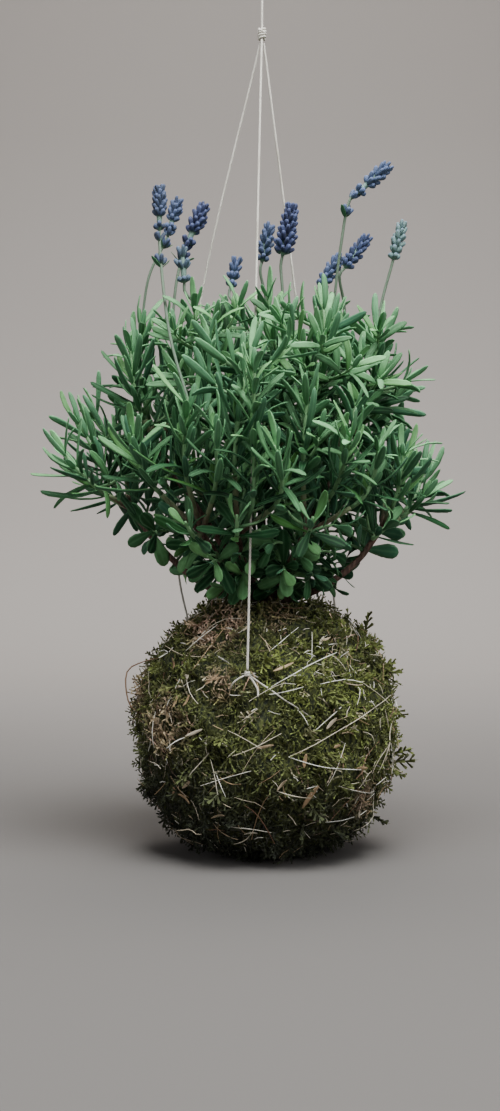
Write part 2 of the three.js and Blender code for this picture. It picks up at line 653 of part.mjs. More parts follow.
// The strings, the knot where they meet, and the strand and loop above it
const knotCentre = vector(KNOT.centre);
for (const [name, tie] of Object.entries(ties)) {
  const start = raised(tie, TIE_KNOT_RADIUS + GAP);
  const spread = start.clone().sub(knotCentre).setZ(0).normalize().multiplyScalar(KNOT.offset);
  const end = raised(knotCentre.clone().add(spread), -KNOT.halfHeight - GAP);
  const points = [start, ...STRING_VIA[name].map(vector), end];
  const path = points.length === 2 ? new THREE.LineCurve3(...points)
    : new THREE.CatmullRomCurve3(points, false, 'centripetal');
  const section = new THREE.Shape().absarc(0, 0, STRING_RADIUS, 0, 2 * Math.PI);
  const geometry = new THREE.ExtrudeGeometry(section,
    { curveSegments: STRING_SIDES / 2, steps: STRING_STEPS[name], extrudePath: path, bevelEnabled: false });
  const mesh = new THREE.Mesh(geometry, LOOKS.thread);
  mesh.name = `string_${name}`;
  object.add(mesh);
  const route = path.getPoints(40);
  takeTube(route, route.map(() => STRING_RADIUS), mesh.name);
}

const knotTop = raised(knotCentre, KNOT.halfHeight);
const knotShape = [[0, -1], [0.76, -1], [1, -0.5], [1, 0.5], [0.48, 1], [0, 1]]
  .map(([r, z]) => [r * KNOT.radius, z * KNOT.halfHeight]);
const knotGeometry = new THREE.LatheGeometry(knotShape.map(([r, z]) => new THREE.Vector2(r, z)), 10);
const knot = new THREE.Mesh(knotGeometry, LOOKS.thread);
knot.name = 'gather_knot';
knot.rotation.x = Math.PI / 2;
knot.position.copy(knotCentre);
object.add(knot);

const strandLength = HANG_LOOP.bottom - knotTop.z - 2 * GAP;
const strand = new THREE.Mesh(
  new THREE.CylinderGeometry(STRING_RADIUS, STRING_RADIUS, strandLength, STRING_SIDES, 4), LOOKS.thread);
strand.name = 'top_strand';
strand.rotation.x = Math.PI / 2;
strand.position.copy(raised(knotTop, GAP + strandLength / 2));
object.add(strand);

const loopFoot = knotTop.clone().setZ(HANG_LOOP.bottom);
const loopKnot = tube([0, 0.25, 0.75, 1].map((k) => raised(loopFoot, k * HANG_LOOP.knotHeight)),
  [0.6, 1, 1, 0.6].map((k) => k * HANG_LOOP.knotRadius), 8);
const loopRing = new THREE.TorusGeometry(HANG_LOOP.radius, STRING_RADIUS, 6, 14);
loopRing.rotateX(Math.PI / 2);
loopRing.translate(...raised(loopFoot, HANG_LOOP.knotHeight * 0.75 + HANG_LOOP.radius).toArray());
add('hang_loop', loopKnot.add(solidOf(loopRing)), LOOKS.thread);

// The plant: the flower spikes and stems take their places first, and then the leaves find theirs
add('woody_crown', joined(crownParts()), LOOKS.wood);

for (const [name, spike] of Object.entries(SPIKES)) {
  const [owner, , foot, tip, width] = spike;
  const points = [vector(foot), vector(foot).lerp(vector(tip), 0.8), vector(tip)];
  takeTube(points, [width / 2, width / 2, 1], `spike_${name}`);
  const line = stalkLine(spike);
  takeTube(line, line.map(() => STALK_RADIUS), `shoot_${owner}`, true);
}
const stems = Object.entries(SHOOTS).map(([name, shoot]) => {
  const { stem } = shootLine(shoot);
  takeTube(stem.getPoints(6), Array(7).fill(STEM_RADIUS), `shoot_${name}`, true);
  return [name, shoot, stem];
});
stems.forEach(([name, shoot, stem], index) => {
  const spike = Object.values(SPIKES).find(([owner]) => owner === name);
  const stalk = spike && { line: stalkLine(spike), bracts: spike.at(-1) };
  add(`shoot_${name}`, shootBody(`shoot_${name}`, index, shoot, stem, stalk), LOOKS.leaf);
});
for (const [name, spike] of Object.entries(SPIKES)) add(`spike_${name}`, spikeBody(spike), LOOKS.flower);

export default object;
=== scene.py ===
# The looks of a kokedama: a lavender rooted in a moss ball that is bound with thread, with three strings
# gathered above it. Sizes in the tables are millimetres, and the meshes are in metres.
import json
from collections import namedtuple
from math import ceil, cos, exp, hypot, pi, radians, sin, sqrt, tau

import bpy
import numpy as np
from bpy.props import FloatProperty, FloatVectorProperty, IntProperty, PointerProperty
from mathutils import Matrix, Vector, noise
from mathutils.bvhtree import BVHTree
from numpy.linalg import norm

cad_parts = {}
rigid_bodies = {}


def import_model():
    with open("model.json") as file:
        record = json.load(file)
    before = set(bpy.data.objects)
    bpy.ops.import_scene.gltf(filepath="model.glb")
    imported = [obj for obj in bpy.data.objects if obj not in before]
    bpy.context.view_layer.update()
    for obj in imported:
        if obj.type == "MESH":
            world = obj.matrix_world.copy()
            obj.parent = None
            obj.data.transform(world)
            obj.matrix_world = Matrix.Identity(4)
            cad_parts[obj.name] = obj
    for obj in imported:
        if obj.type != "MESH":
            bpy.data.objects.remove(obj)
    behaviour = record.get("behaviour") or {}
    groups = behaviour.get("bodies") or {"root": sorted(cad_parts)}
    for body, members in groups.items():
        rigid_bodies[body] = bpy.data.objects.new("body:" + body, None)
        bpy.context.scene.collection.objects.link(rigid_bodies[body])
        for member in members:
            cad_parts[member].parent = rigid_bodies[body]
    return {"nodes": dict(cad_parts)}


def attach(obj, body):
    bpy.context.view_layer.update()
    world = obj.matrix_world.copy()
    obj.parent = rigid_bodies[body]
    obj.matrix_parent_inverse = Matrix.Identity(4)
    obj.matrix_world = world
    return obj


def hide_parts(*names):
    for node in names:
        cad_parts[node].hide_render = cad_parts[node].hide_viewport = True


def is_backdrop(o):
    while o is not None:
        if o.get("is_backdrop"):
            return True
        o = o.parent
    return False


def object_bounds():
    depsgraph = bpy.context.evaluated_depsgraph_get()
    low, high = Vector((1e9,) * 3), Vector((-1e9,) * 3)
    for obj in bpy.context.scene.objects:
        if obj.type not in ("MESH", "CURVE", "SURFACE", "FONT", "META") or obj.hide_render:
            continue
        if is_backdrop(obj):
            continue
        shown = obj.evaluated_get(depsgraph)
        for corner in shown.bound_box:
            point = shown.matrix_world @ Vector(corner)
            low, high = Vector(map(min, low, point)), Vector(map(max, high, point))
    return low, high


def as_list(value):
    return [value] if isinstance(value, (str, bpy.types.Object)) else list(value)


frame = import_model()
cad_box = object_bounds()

bl_info = {
    "name": "Kokedama",
    "version": (1, 0, 0),
    "blender": (4, 5, 0),
    "location": "View3D > Sidebar > Kokedama",
    "description": "A lavender in a moss ball, with its strings, made piece by piece",
    "category": "Add Mesh",
}

MM = 0.001
GAP = 0.3
X, Y, Z = np.eye(3)
BALL_CENTRE = np.array([0.0, 0.0, 62.0])
# How far off a ray starts that feels for a surface
OUTSIDE = 150.0

# The moss: outline as radius and height, and the hollow for the soil
MOSS_REACH = 66.0
MOSS_TOP = 125.5
# How far out a leaf's tip may be lower than that
SHOULDER_RADIUS = 40
MOSS_OUTLINE = [(22, 0), (44, 11), (60, 34), (64.5, 62), (60, 89), (45, 110), (27, 123)]
MOSS_RELIEF = 2.4
SOIL_OUTLINE = [(22, 9.5), (42, 23), (53, 43), (56, 63), (52, 86), (40, 102), (21, 113)]
SOIL_FOOT = 7.0
SOIL_TOP = 117.0
CRUMB_COUNT = 170
NECK_RADIUS = 21.0

# Thread and strings
THREAD_RADIUS = 0.5
LOOP_STEPS = 60
THREAD_PITCH = 4
THREAD_STEP = 0.8
# The twisted thread's radius, as a share of the solid's
THREAD_SHARE = 0.76
# How high the thread lies over the bed of moss at the front tie and where the moss has grown over it,
# how much that changes along it, and how far from the tie it shows
THREAD_LIFT = 4.0
THREAD_LOW = -0.6
THREAD_WAVE = 1.8
THREAD_SHOWN = 42.0
TIES = {"front": (-9, -58, 92), "left": (-42, 38, 108), "right": (38, 37, 103)}
TIE_KNOT_RADIUS = 1.7
LOOP_POINTS = {"right": (60, -20, 42), "left": (-60, -24, 40)}
STRING_RADIUS = 0.6
STRING_VIA = {"front": [], "left": [(-46, 36, 145), (-35, 20, 268)], "right": []}
KNOT_CENTRE = np.array([-2.0, 0.0, 408.0])
KNOT_HALF_HEIGHT = 4.0
KNOT_OFFSET = 1.2
LOOP_FOOT = 429.0
LOOP_RADIUS = 4.6

# The woody branches, each from the trunk's top through its points to a fork
BRANCH_START = (0, 0, 123)
BRANCHES = {
    "left_low": [(-27, -14, 131), (-48, -12, 147), (-68, -8, 171)],
    "left_high": [(-17, -7, 146), (-38, -8, 176), (-53, -3, 199)],
    "front_left": [(-16, -18, 136), (-31, -33, 158)],
    "front": [(-9, -19, 136), (-14, -37, 157)],
    "front_right": [(8, -19, 136), (18, -36, 157)],
    "right_low": [(24, -14, 130), (43, -14, 143), (57, -12, 161)],
    "right_high": [(13, -5, 146), (28, -3, 176), (35, 1, 198)],
    "centre": [(-1, 3, 150), (-3, 4, 190)],
    "back": [(-7, 17, 138), (-10, 34, 163)],
    "back_right": [(10, 15, 138), (20, 32, 162)],
}
BRANCH_RADIUS = 2.3
FORK_RADIUS = 1.7
TWIG_RADIUS = 1.15
TRUNK_RADIUS = 6.2
# Height and radius from the soil up to the branches
TRUNK = [(85, 5.9), (100, 5.9), (112, 6.0), (118, 6.3), (122, 6.6), (125, 5.6), (127.5, 2.6)]

# Leafy shoots: fork, the green stem's foot and tip, and pairs of leaves. Those that start with low have
# broad leaves.
LeafSize = namedtuple("LeafSize", "length width broad")
NARROW = LeafSize(27.0, 3.9, False)
BROAD = LeafSize(21.0, 5.6, True)
SHOOT_PLACES = {
    "front_tall": ("front", (-15, -51, 184), (-7, -58, 243), 5),
    "front_right_tall": ("centre", (16, -16, 210), (27, -30, 268), 5),
    "right_tall": ("right_high", (42, -7, 208), (55, -11, 260), 5),
    "front_leaning": ("front_right", (29, -45, 174), (38, -63, 204), 4),
    "right_upper": ("right_low", (61, -17, 170), (66, -27, 198), 3),
    "right_back": ("right_low", (68, -3, 169), (80, 5, 193), 3),
    "right_out": ("right_low", (66, -13, 166), (78, -17, 178), 2),
    "right_front": ("front_right", (40, -36, 170), (52, -46, 199), 3),
    "left_front_mid": ("front_left", (-37, -46, 180), (-36, -57, 217), 4),
    "left_tall": ("left_high", (-60, -13, 214), (-66, -20, 248), 4),
    "left_back_tall": ("left_high", (-60, 6, 220), (-63, 12, 266), 4),
    "left_inner_tall": ("left_high", (-47, -1, 220), (-47, 2, 262), 4),
    "left_out_high": ("left_low", (-75, -6, 182), (-94, -5, 215), 4),
    "left_out_back": ("left_low", (-70, 4, 184), (-88, 19, 218), 4),
    "left_out_low": ("left_low", (-78, -14, 177), (-99, -20, 198), 3),
    "left_low_back": ("left_low", (-73, 6, 173), (-92, 16, 184), 2),
    "left_front_low": ("front_left", (-50, -36, 176), (-62, -49, 204), 3),
    "centre_left_front": ("front_left", (-26, -48, 172), (-24, -66, 207), 4),
    "centre_front_low": ("front", (1, -50, 168), (3, -70, 197), 4),
    "top_left": ("centre", (-22, -9, 212), (-30, -15, 256), 4),
    "top_left_back": ("centre", (-14, 13, 213), (-13, 16, 260), 4),
    "top_centre": ("centre", (2, 14, 213), (2, 13, 258), 4),
    "top_front": ("centre", (3, -8, 214), (8, -9, 260), 4),
    "top_right": ("right_high", (30, 2, 219), (33, 0, 264), 4),
    "top_right_back": ("right_high", (40, 15, 215), (42, 21, 258), 4),
    "right_inner_tall": ("right_high", (48, 6, 212), (55, 12, 258), 4),
    "low_front": ("front", (-14, -47, 156), (-14, -60, 166), 2),
    "low_left": ("front_left", (-33, -43, 156), (-38, -56, 163), 2),
    "low_right": ("front_right", (19, -47, 157), (21, -59, 165), 2),
    "low_far_right": ("right_low", (52, -22, 156), (61, -28, 164), 2),
    "low_back": ("back", (-13, 45, 157), (-16, 58, 166), 2),
    "centre_right_front": ("front_right", (17, -46, 182), (19, -56, 224), 4),
    "back_left": ("back", (-36, 40, 182), (-52, 56, 214), 4),
    "back_mid": ("back", (-12, 46, 180), (-15, 68, 218), 4),
    "back_high": ("back", (-2, 38, 204), (0, 44, 246), 4),
    "back_left_high": ("left_high", (-52, 20, 210), (-53, 31, 246), 3),
    "back_right": ("back_right", (28, 46, 182), (36, 62, 220), 4),
    "back_right_out": ("right_low", (60, 10, 173), (73, 33, 202), 3),
    "back_right_high": ("back_right", (12, 32, 206), (21, 30, 250), 4),
}
STEM_RADIUS = 1.1
STEM_TIP_RADIUS = 0.65
# How far the first pair of leaves is from the stem's foot, and the last from its tip
FIRST_PAIR = 5.0
LAST_PAIR = 2.5
# How near its root a leaf may touch its own stem, how far it keeps from all else, and its least lean
ROOT_REACH = 4.0
LEAF_GAP = 0.35
LEAST_LEAN = 14
# How leaves arch, from end to end in radians, and how the templates of each kind are twisted
BENDS = (0.75, 0.45, 0.2, -0.3)
ARCHING = -0.85
ANY_BENDS = (0.2, -0.3, ARCHING, ARCHING, ARCHING)
LEAF_BENDS = [*BENDS, ARCHING]
LEAF_TWISTS = [0.5, -0.4, 0.7, -0.6, 0.3]
# The angle from one leaf to the next round a shoot's tip
GOLDEN_TURN = 137.5
BRACT = LeafSize(7.0, 3.2, False)
BRACT_PLACE = 0.8
# Points along a shoot's stem and along its flower's stalk
STEM_POINTS = 14
STALK_POINTS = 16
# What a leaf tries in turn until it is clear: turned about the stem, lifted or lowered, shorter
TRIES = (
    (0, 0, 1), (18, 0, 1), (-18, 0, 1), (0, 14, 1), (0, -14, 1), (34, 6, 0.95), (-34, 6, 0.95),
    (14, 18, 0.85), (-14, -16, 0.85), (44, 0, 0.8), (-44, 0, 0.8), (0, 0, 0.66), (24, 8, 0.62),
    (-24, 8, 0.62),
)
LITTLE_TRIES = (
    (0, 0, 1), (22, 0, 1), (-22, 0, 1), (0, 12, 0.9), (0, -12, 0.9), (40, 8, 0.8), (-40, 8, 0.8),
    (0, 0, 0.6), (60, 0, 0.6), (-60, 0, 0.6),
)
# How far apart the balls are that stand for a branch, a string or a stem
BALL_STEP = 1.6

# Flower spikes: the shoot each grows from, a point the stalk passes, the spike's foot and tip, width,
# whorls, whether a lower whorl stands on the stalk, and how dark and how green the buds are
SPIKE_PLACES = {
    "left_dark": ("left_front_mid", (-46, -41, 252), (-52, -22, 305), (-52, -20, 327), 8, 5, True, 0.9, 0.1),
    "left_back": ("left_back_tall", (-59, 12, 290), (-49, 14, 313), (-45, 16, 328), 8, 4, True, 0.5, 0.1),
    "left_tilted": ("left_inner_tall", (-45, 3, 284), (-40, 5, 303), (-31, 8, 325), 10, 5, True, 0.85, 0.0),
    "left_low": ("top_left", (-33, -17, 268), (-40, -20, 280), (-41, -19, 296), 9, 2, False, 0.6, 0.3),
    "small_back": ("top_left_back", (-14, 18, 273), (-18, 25, 286), (-15, 28, 300), 8, 3, False, 0.3, 0.1),
    "centre_left": ("top_centre", (0, 12, 278), (-2, 10, 296), (2, 12, 315), 9, 4, False, 0.5, 0.1),
    "centre_big": ("top_front", (8, -10, 278), (8, -10, 295), (13, -10, 321), 13, 5, False, 0.75, 0.0),
    "right_high": ("top_right", (37, -4, 300), (45, -5, 327), (61, -5, 341), 9, 4, True, 0.15, 0.15),
    "right_tilted": ("top_right_back", (40, 16, 276), (40, 10, 293), (52, 12, 309), 9, 4, False, 0.35, 0.05),
    "right_back": ("back_right_high", (26, 22, 270), (28, 16, 284), (38, 18, 300), 9, 4, False, 0.3, 0.1),
    "right_pale": ("right_inner_tall", (60, 14, 280), (65, 15, 298), (70, 16, 317), 8, 4, False, 0.0, 0.85),
}
STALK_RADIUS = 0.75
BUD_LENGTH = 6.0
BUD_WIDTH = 2.8

# The camera: level, and so far off that the photograph's scale at the ball is half a millimetre a pixel
IMAGE_HEIGHT = 1111
FOCAL_PIXELS = 1500
CAMERA_PLACE = (-0.008, -0.750, 0.14725)

# The stage, in metres: where its floor starts to curve up and how widely, how far it goes, and what its
# lamps point at
SWEEP_FOOT = 0.95
SWEEP_RADIUS = 1.25
SWEEP_STEPS = 14
STAGE_FRONT = -2.6
STAGE_TOP = 3.6
STAGE_HALF_WIDTH = 4.5
PLANT_PLACE = (0, 0, 0.18)
BACKDROP_PLACE = (0, 2.2, 0.6)
# Each lamp's place, aim, size, share of the light's strength, and colour
LAMPS = {
    "sky_light": ((0.12, -0.45, 1.15), PLANT_PLACE, 0.8, 1.2, (0.94, 0.98, 1.0)),
    "front_light": ((0.9, -1.1, 0.75), PLANT_PLACE, 0.8, 0.3, (0.96, 0.98, 1.0)),
    "left_light": ((-1.1, -0.5, 0.5), PLANT_PLACE, 0.7, 0.12, (0.93, 0.96, 1.0)),
    "top_light": ((0.0, 0.55, 1.6), PLANT_PLACE, 1.2, 0.38, (1.0, 0.97, 0.94)),
    "backdrop_light": ((0.0, 0.9, 2.4), BACKDROP_PLACE, 1.2, 0.7, (1.0, 0.97, 0.94)),
}
SURROUNDINGS_COLOUR = (0.86, 0.90, 0.95)


# Numbers that are drawn: the same on every run
def seeded(seed):
    state = seed & 0xFFFFFFFF

    def draw():
        nonlocal state
        state = (state + 0x6D2B79F5) & 0xFFFFFFFF
        mixed = ((state ^ (state >> 15)) * (state | 1)) & 0xFFFFFFFF
        mixed ^= (mixed + ((mixed ^ (mixed >> 7)) * (mixed | 61))) & 0xFFFFFFFF
        return ((mixed ^ (mixed >> 14)) & 0xFFFFFFFF) / 4294967296

    return draw


def blend_of(a, b, share):
    return a + (b - a) * share


def vec(numbers):
    return np.asarray(numbers, float)


def turns(count):
    """Even angles once round."""
    return np.arange(count) / count * tau


def unit(way):
    return vec(way) / norm(way)


def any_way(draw, down=0.5, flat=1.0):
    """A drawn direction: down is the share of them that point down, and flat squashes them."""
    return unit([draw() - 0.5, draw() - 0.5, (draw() - down) * flat])


def pick(draw, choices):
    return choices[int(draw() * len(choices))]


def across(axis, hint=(0.13, 0.97, 0.21)):
    """Two directions across an axis, so that across, over and axis turn left."""
    hint = vec(hint)
    over = unit(hint - hint.dot(axis) * axis)
    return np.cross(over, axis), over


def at_angle(side, over, angle):
    """The direction at an angle from side towards over."""
    return side * cos(angle) + over * sin(angle)


class Curve:
    """A curve that is felt along at even steps, as a share of its length."""

    SAMPLES = 200
    FEEL = 0.0001

    def __init__(self, point_at):
        self.point_at = point_at
        samples = np.array([point_at(i / self.SAMPLES) for i in range(self.SAMPLES + 1)])
        self.reached = np.concatenate([[0.0], np.cumsum(norm(np.diff(samples, axis=0), axis=1))])
        self.length = self.reached[-1]

    def at(self, share):
        return self.point_at(self._place(share))

    def spread(self, count):
        return [self.at(share) for share in np.linspace(0, 1, count)]

    def tangent(self, share):
        place = self._place(share)
        return unit(self.point_at(min(1.0, place + self.FEEL)) - self.point_at(max(0.0, place - self.FEEL)))

    def _place(self, share):
        return float(np.interp(share * self.length, self.reached, np.linspace(0, 1, self.SAMPLES + 1)))


def arc(start, bend, end):
    """A quadratic Bezier curve."""
    return Curve(lambda t: (1 - t) ** 2 * start + 2 * (1 - t) * t * bend + t * t * end)


def curve_through(points, closed=False, even=False):
    """A smooth curve through points, by the centripetal or the even Catmull-Rom rule."""
    points = [vec(p) for p in points]
    count = len(points)
    ends = [2 * points[-1] - points[-2], 2 * points[0] - points[1]]
    padded = points + (points[:2] if closed else ends)

    def knot_step(a, b):
        step = 1.0 if even else float(np.sum((b - a) ** 2)) ** 0.25
        return step if step >= 1e-4 else 1.0

    def point_at(t):
        spans = count if closed else count - 1
        i = min(int(t * spans), spans - 1)
        weight = t * spans - i
        before = points[i - 1] if closed else padded[i - 1]
        first, second, after = padded[i:i + 3]
        d0, d1, d2 = knot_step(before, first), knot_step(first, second), knot_step(second, after)
        t1 = ((first - before) / d0 - (second - before) / (d0 + d1) + (second - first) / d1) * d1
        t2 = ((second - first) / d1 - (after - first) / (d1 + d2) + (after - second) / d2) * d1
        c2 = -3 * first + 3 * second - 2 * t1 - t2
        c3 = 2 * first - 2 * second + t1 + t2
        return first + t1 * weight + c2 * weight ** 2 + c3 * weight ** 3

    return Curve(point_at)


class Shape:
    """Points and faces of a mesh while it is made, with a value at each point for each attribute."""

    def __init__(self, **kinds):
        self.points, self.faces, self.edges, self.count = [], [], [], 0
        self.kinds = kinds
        self.values = {name: [] for name in kinds}

    def put(self, points, faces=(), **values):
        points = vec(points).reshape(-1, 3)
        self.points.append(points)
        self.faces.extend(tuple(self.count + i for i in face) for face in faces)
        self.count += len(points)
        for name, kind in self.kinds.items():
            wide = 3 if kind == "FLOAT_VECTOR" else 1
            value = vec(values.get(name, 0))
            rows = value.reshape(-1, wide) if value.ndim else value
            self.values[name].append(np.broadcast_to(rows, (len(points), wide)))
        return self

    def skin(self, rings, **values):
        """A closed skin over rings of points. A ring of one point is a tip, other ends are closed flat."""
        rings = [vec(r).reshape(-1, 3) for r in rings]
        starts = [0, *np.cumsum([len(r) for r in rings]).tolist()]
        faces = []
        for a, b, start, following in zip(rings, rings[1:], starts, starts[1:]):
            here, there = len(a), len(b)
            for i in range(max(here, there)):
                j = (i + 1) % max(here, there)
                low = [start + i % here, start + j % here]
                high = [following + j % there, following + i % there]
                faces.append((low if here > 1 else low[:1]) + (high if there > 1 else high[:1]))
        if len(rings[0]) > 1:
            faces.append(range(len(rings[0]) - 1, -1, -1))
        if len(rings[-1]) > 1:
            faces.append(range(starts[-2], starts[-1]))
        return self.put(np.concatenate(rings), faces, **values)

    def mesh(self, name, smooth=True):
        mesh = bpy.data.meshes.new(name)
        mesh.from_pydata((np.concatenate(self.points) * MM).tolist(), self.edges, self.faces)
        for attribute, kind in self.kinds.items():
            data = np.concatenate(self.values[attribute]).ravel()
            if kind in ("INT", "BOOLEAN"):
                data = data.astype(int)
            made = mesh.attributes.new(attribute, kind, "POINT")
            made.data.foreach_set("vector" if kind == "FLOAT_VECTOR" else "value", data.tolist())
        mesh.polygons.foreach_set("use_smooth", [smooth] * len(mesh.polygons))
        mesh.update()
        return mesh

    def piece(self, name, smooth=True):
        return object_of(name, self.mesh(name, smooth))


def tube_rings(points, radii, sides, reach=None, closed=False):
    """Rings round a path that turn as little as they can. reach gives a ring's shares of its radius."""
    points, radii = vec(points), np.broadcast_to(radii, len(points))
    angles, last = turns(sides), len(points) - 1
    rings, hint = [], (0.13, 0.97, 0.21)
    for i, point in enumerate(points):
        if closed:
            axis = unit(points[(i + 1) % len(points)] - points[i - 1])
        else:
            axis = unit(points[min(i + 1, last)] - points[max(i - 1, 0)])
        side, hint = across(axis, hint)
        out = radii[i] * (reach(i, angles) if reach else np.ones(sides))
        rings.append(point + np.outer(np.cos(angles) * out, side) + np.outer(np.sin(angles) * out, hint))
    return rings


def tube_faces(rings, sides, closed):
    """The faces between rings, without ends."""
    return [(i * sides + k, i * sides + (k + 1) % sides,
             (i + 1) % rings * sides + (k + 1) % sides, (i + 1) % rings * sides + k)
            for i in range(rings if closed else rings - 1) for k in range(sides)]


def object_of(name, mesh, collection=None):
    made = bpy.data.objects.new(name, mesh)
    (collection or bpy.context.scene.collection).objects.link(made)
    return made


def hardened(piece):
    """Turns what a piece's modifiers make into its own plain mesh."""
    graph = bpy.context.evaluated_depsgraph_get()
    made = bpy.data.meshes.new_from_object(
        piece.evaluated_get(graph), preserve_all_data_layers=True, depsgraph=graph)
    piece.modifiers.clear()
    before, piece.data = piece.data, made
    bpy.data.meshes.remove(before)
    made.name = piece.name
    return piece


def finished(piece, slot, *nodes, material=None):
    """Ties a piece to the body and hides the nodes that it stands for. slot is not used."""
    if material is not None:
        piece.data.materials.clear()
        piece.data.materials.append(material)
    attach(piece, "root")
    if nodes:
        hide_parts(*nodes)
    return piece


# Materials
class Value:
    """A socket of a material, on which sums can be written."""

    def __init__(self, recipe, socket):
        self.recipe, self.socket = recipe, socket

    def __add__(self, other):
        return self.recipe.sum("ADD", self, other)

    def __sub__(self, other):
        return self.recipe.sum("SUBTRACT", self, other)

    def __rsub__(self, other):
        return self.recipe.sum("SUBTRACT", other, self)

    def __mul__(self, other):
        return self.recipe.sum("MULTIPLY", self, other)

    __radd__ = __add__
    __rmul__ = __mul__


class Nodes:
    """A tree of nodes that is written one node after another."""

    def put(self, kind, settings=None, inputs=None):
        """One node: its settings first, then the values or links of its sockets."""
        made = self.tree.nodes.new(kind)
        for name, setting in (settings or {}).items():
            setattr(made, name, setting)
        for key, value in (inputs or {}).items():
            self.feed(made.inputs[key], value)
        return made

    def feed(self, socket, value):
        value = getattr(value, "socket", value)
        if isinstance(value, bpy.types.NodeSocket):
            self.tree.links.new(value, socket)
        else:
            socket.default_value = (*value, 1.0) if socket.type == "RGBA" else value


class Recipe(Nodes):
    """A material made of nodes."""

    def __init__(self, name):
        self.material = bpy.data.materials.new(name)
        self.material.use_nodes = True
        self.tree = self.material.node_tree
        self.tree.nodes.clear()

    def node(self, kind, settings=None, inputs=None, output=0):
        return Value(self, self.put("ShaderNode" + kind, settings, inputs).outputs[output])

    def sum(self, operation, a, b=0.5):
        return self.node("Math", {"operation": operation}, {0: a, 1: b})

    def attribute(self, name, output="Fac"):
        return self.node("Attribute", {"attribute_name": name}, output=output)

    def parts(self, vector):
        split = self.put("ShaderNodeSeparateXYZ", inputs={0: vector})
        return [Value(self, socket) for socket in split.outputs]

    def place(self):
        return self.node("TexCoord", output="Object")

    def apart(self, place):
        """How far away a place is."""
        inputs = {0: self.place(), 1: vec(place) * MM}
        return self.node("VectorMath", {"operation": "DISTANCE"}, inputs, output=1)

    def grain(self, scale, detail=3.0, stretch=None, roughness=0.5):
        """Noise, with its scale in waves for each metre."""
        vector = self.place()
        if stretch:
            vector = self.node("VectorMath", {"operation": "MULTIPLY"}, {0: vector, 1: (1.0, 1.0, stretch)})
        inputs = {"Vector": vector, "Scale": scale, "Detail": detail, "Roughness": roughness}
        return self.node("TexNoise", inputs=inputs)

    def ramp(self, share, low, high):
        """From 0 to 1 as share goes from low to high, smoothly."""
        inputs = {"Value": share, "From Min": low, "From Max": high}
        return self.node("MapRange", {"interpolation_type": "SMOOTHSTEP"}, inputs)

    def mix(self, share, a, b, way="MIX"):
        """Colours a and b, mixed."""
        return self.node("Mix", {"data_type": "RGBA", "blend_type": way}, {0: share, 6: a, 7: b}, output=2)

    def finish(self, colour, roughness, bump=None, bump_height=0.0, **constants):
        inputs = {"Base Color": colour, "Roughness": roughness}
        if bump is not None:
            heights = {"Strength": 1.0, "Distance": bump_height * MM, "Height": bump}
            inputs["Normal"] = self.node("Bump", inputs=heights)
        inputs.update({name.replace("_", " "): value for name, value in constants.items()})
        self.put("ShaderNodeOutputMaterial", inputs={"Surface": self.node("BsdfPrincipled", inputs=inputs)})
        return self.material


def zone(r, patches):
    """From 0 to 1 in patches of the ball, each a centre, a radius and how strong it is."""
    total = 0
    for centre, radius, strong in patches:
        total = (1 - r.ramp(r.apart(centre), radius * 0.35 * MM, radius * 1.1 * MM)) * strong + total
    return r.sum("MINIMUM", total, 1.0)


def moss_look(name, fresh, dull, look):
    """Moss strands: each its own tone, in patches, and painted darker underneath and to the left as shade."""
    r = Recipe(name)
    shade = r.attribute("shade")
    patches = r.grain(55, 3)
    colour = r.mix(r.ramp(patches * 0.6 + shade * 0.6, 0.3, 0.85), dull, fresh)
    colour = r.mix(zone(r, FRESH_PATCHES) * (0.35 + shade * 0.65), colour, look.fresh_colour)
    colour = r.mix(zone(r, BROWN_PATCHES) * r.ramp(shade + patches, 0.4, 0.85), colour, look.brown_colour)
    colour = r.mix(r.ramp(shade, 0.9, 1.0) * 0.8, colour, look.straw_colour)
    # Each strand is darker and browner towards its foot and between its scales: partly older moss, partly
    # painted shade down in the mat.
    tip = r.ramp(r.attribute("tip"), 0.1, 0.9)
    colour = r.mix(1 - tip, colour, (0.34, 0.30, 0.24), "MULTIPLY")
    # Painted shade: the moss is painted darker towards the bottom, more so on the left, away from the main
    # lamps.
    across_ball, _, height = r.parts(r.place())
    level = height + across_ball * 0.22 + (patches - 0.5) * 0.03
    painted_shade = 1 - r.ramp(level, 0.010, 0.066)
    colour = r.mix(painted_shade * 0.88, colour, look.painted_shade_colour)
    return r.finish(colour, 0.95 - shade * 0.2, Sheen_Weight=0.1, Specular_IOR_Level=0.2)


def moss_body_look(look):
    r = Recipe("moss_bed")
    strands = r.grain(700, 4, stretch=0.45)
    # Painted shade: the bed shows only in the gaps between sprigs, and its darker strands take the painted
    # shade colour.
    colour = r.mix(r.ramp(strands, 0.35, 0.7), look.painted_shade_colour, look.dull_colour)
    return r.finish(colour, 0.95, strands, 1.2, Specular_IOR_Level=0.1)


def straw_look(look):
    r = Recipe("dry_straw")
    along = r.grain(260, 3)
    shade = r.attribute("shade")
    pale = r.mix(r.ramp(shade, 0.0, 0.4), (0.84, 0.82, 0.74), look.straw_colour)
    tan = r.mix(r.ramp(shade, 0.4, 0.65), pale, (0.34, 0.23, 0.12))
    brown = r.mix(r.ramp(shade, 0.7, 1.0), tan, (0.15, 0.07, 0.04))
    colour = r.mix(r.ramp(along, 0.45, 0.8) * 0.5, brown, (0.13, 0.09, 0.05))
    return r.finish(colour, 0.6 + along * 0.3, along, 0.15)


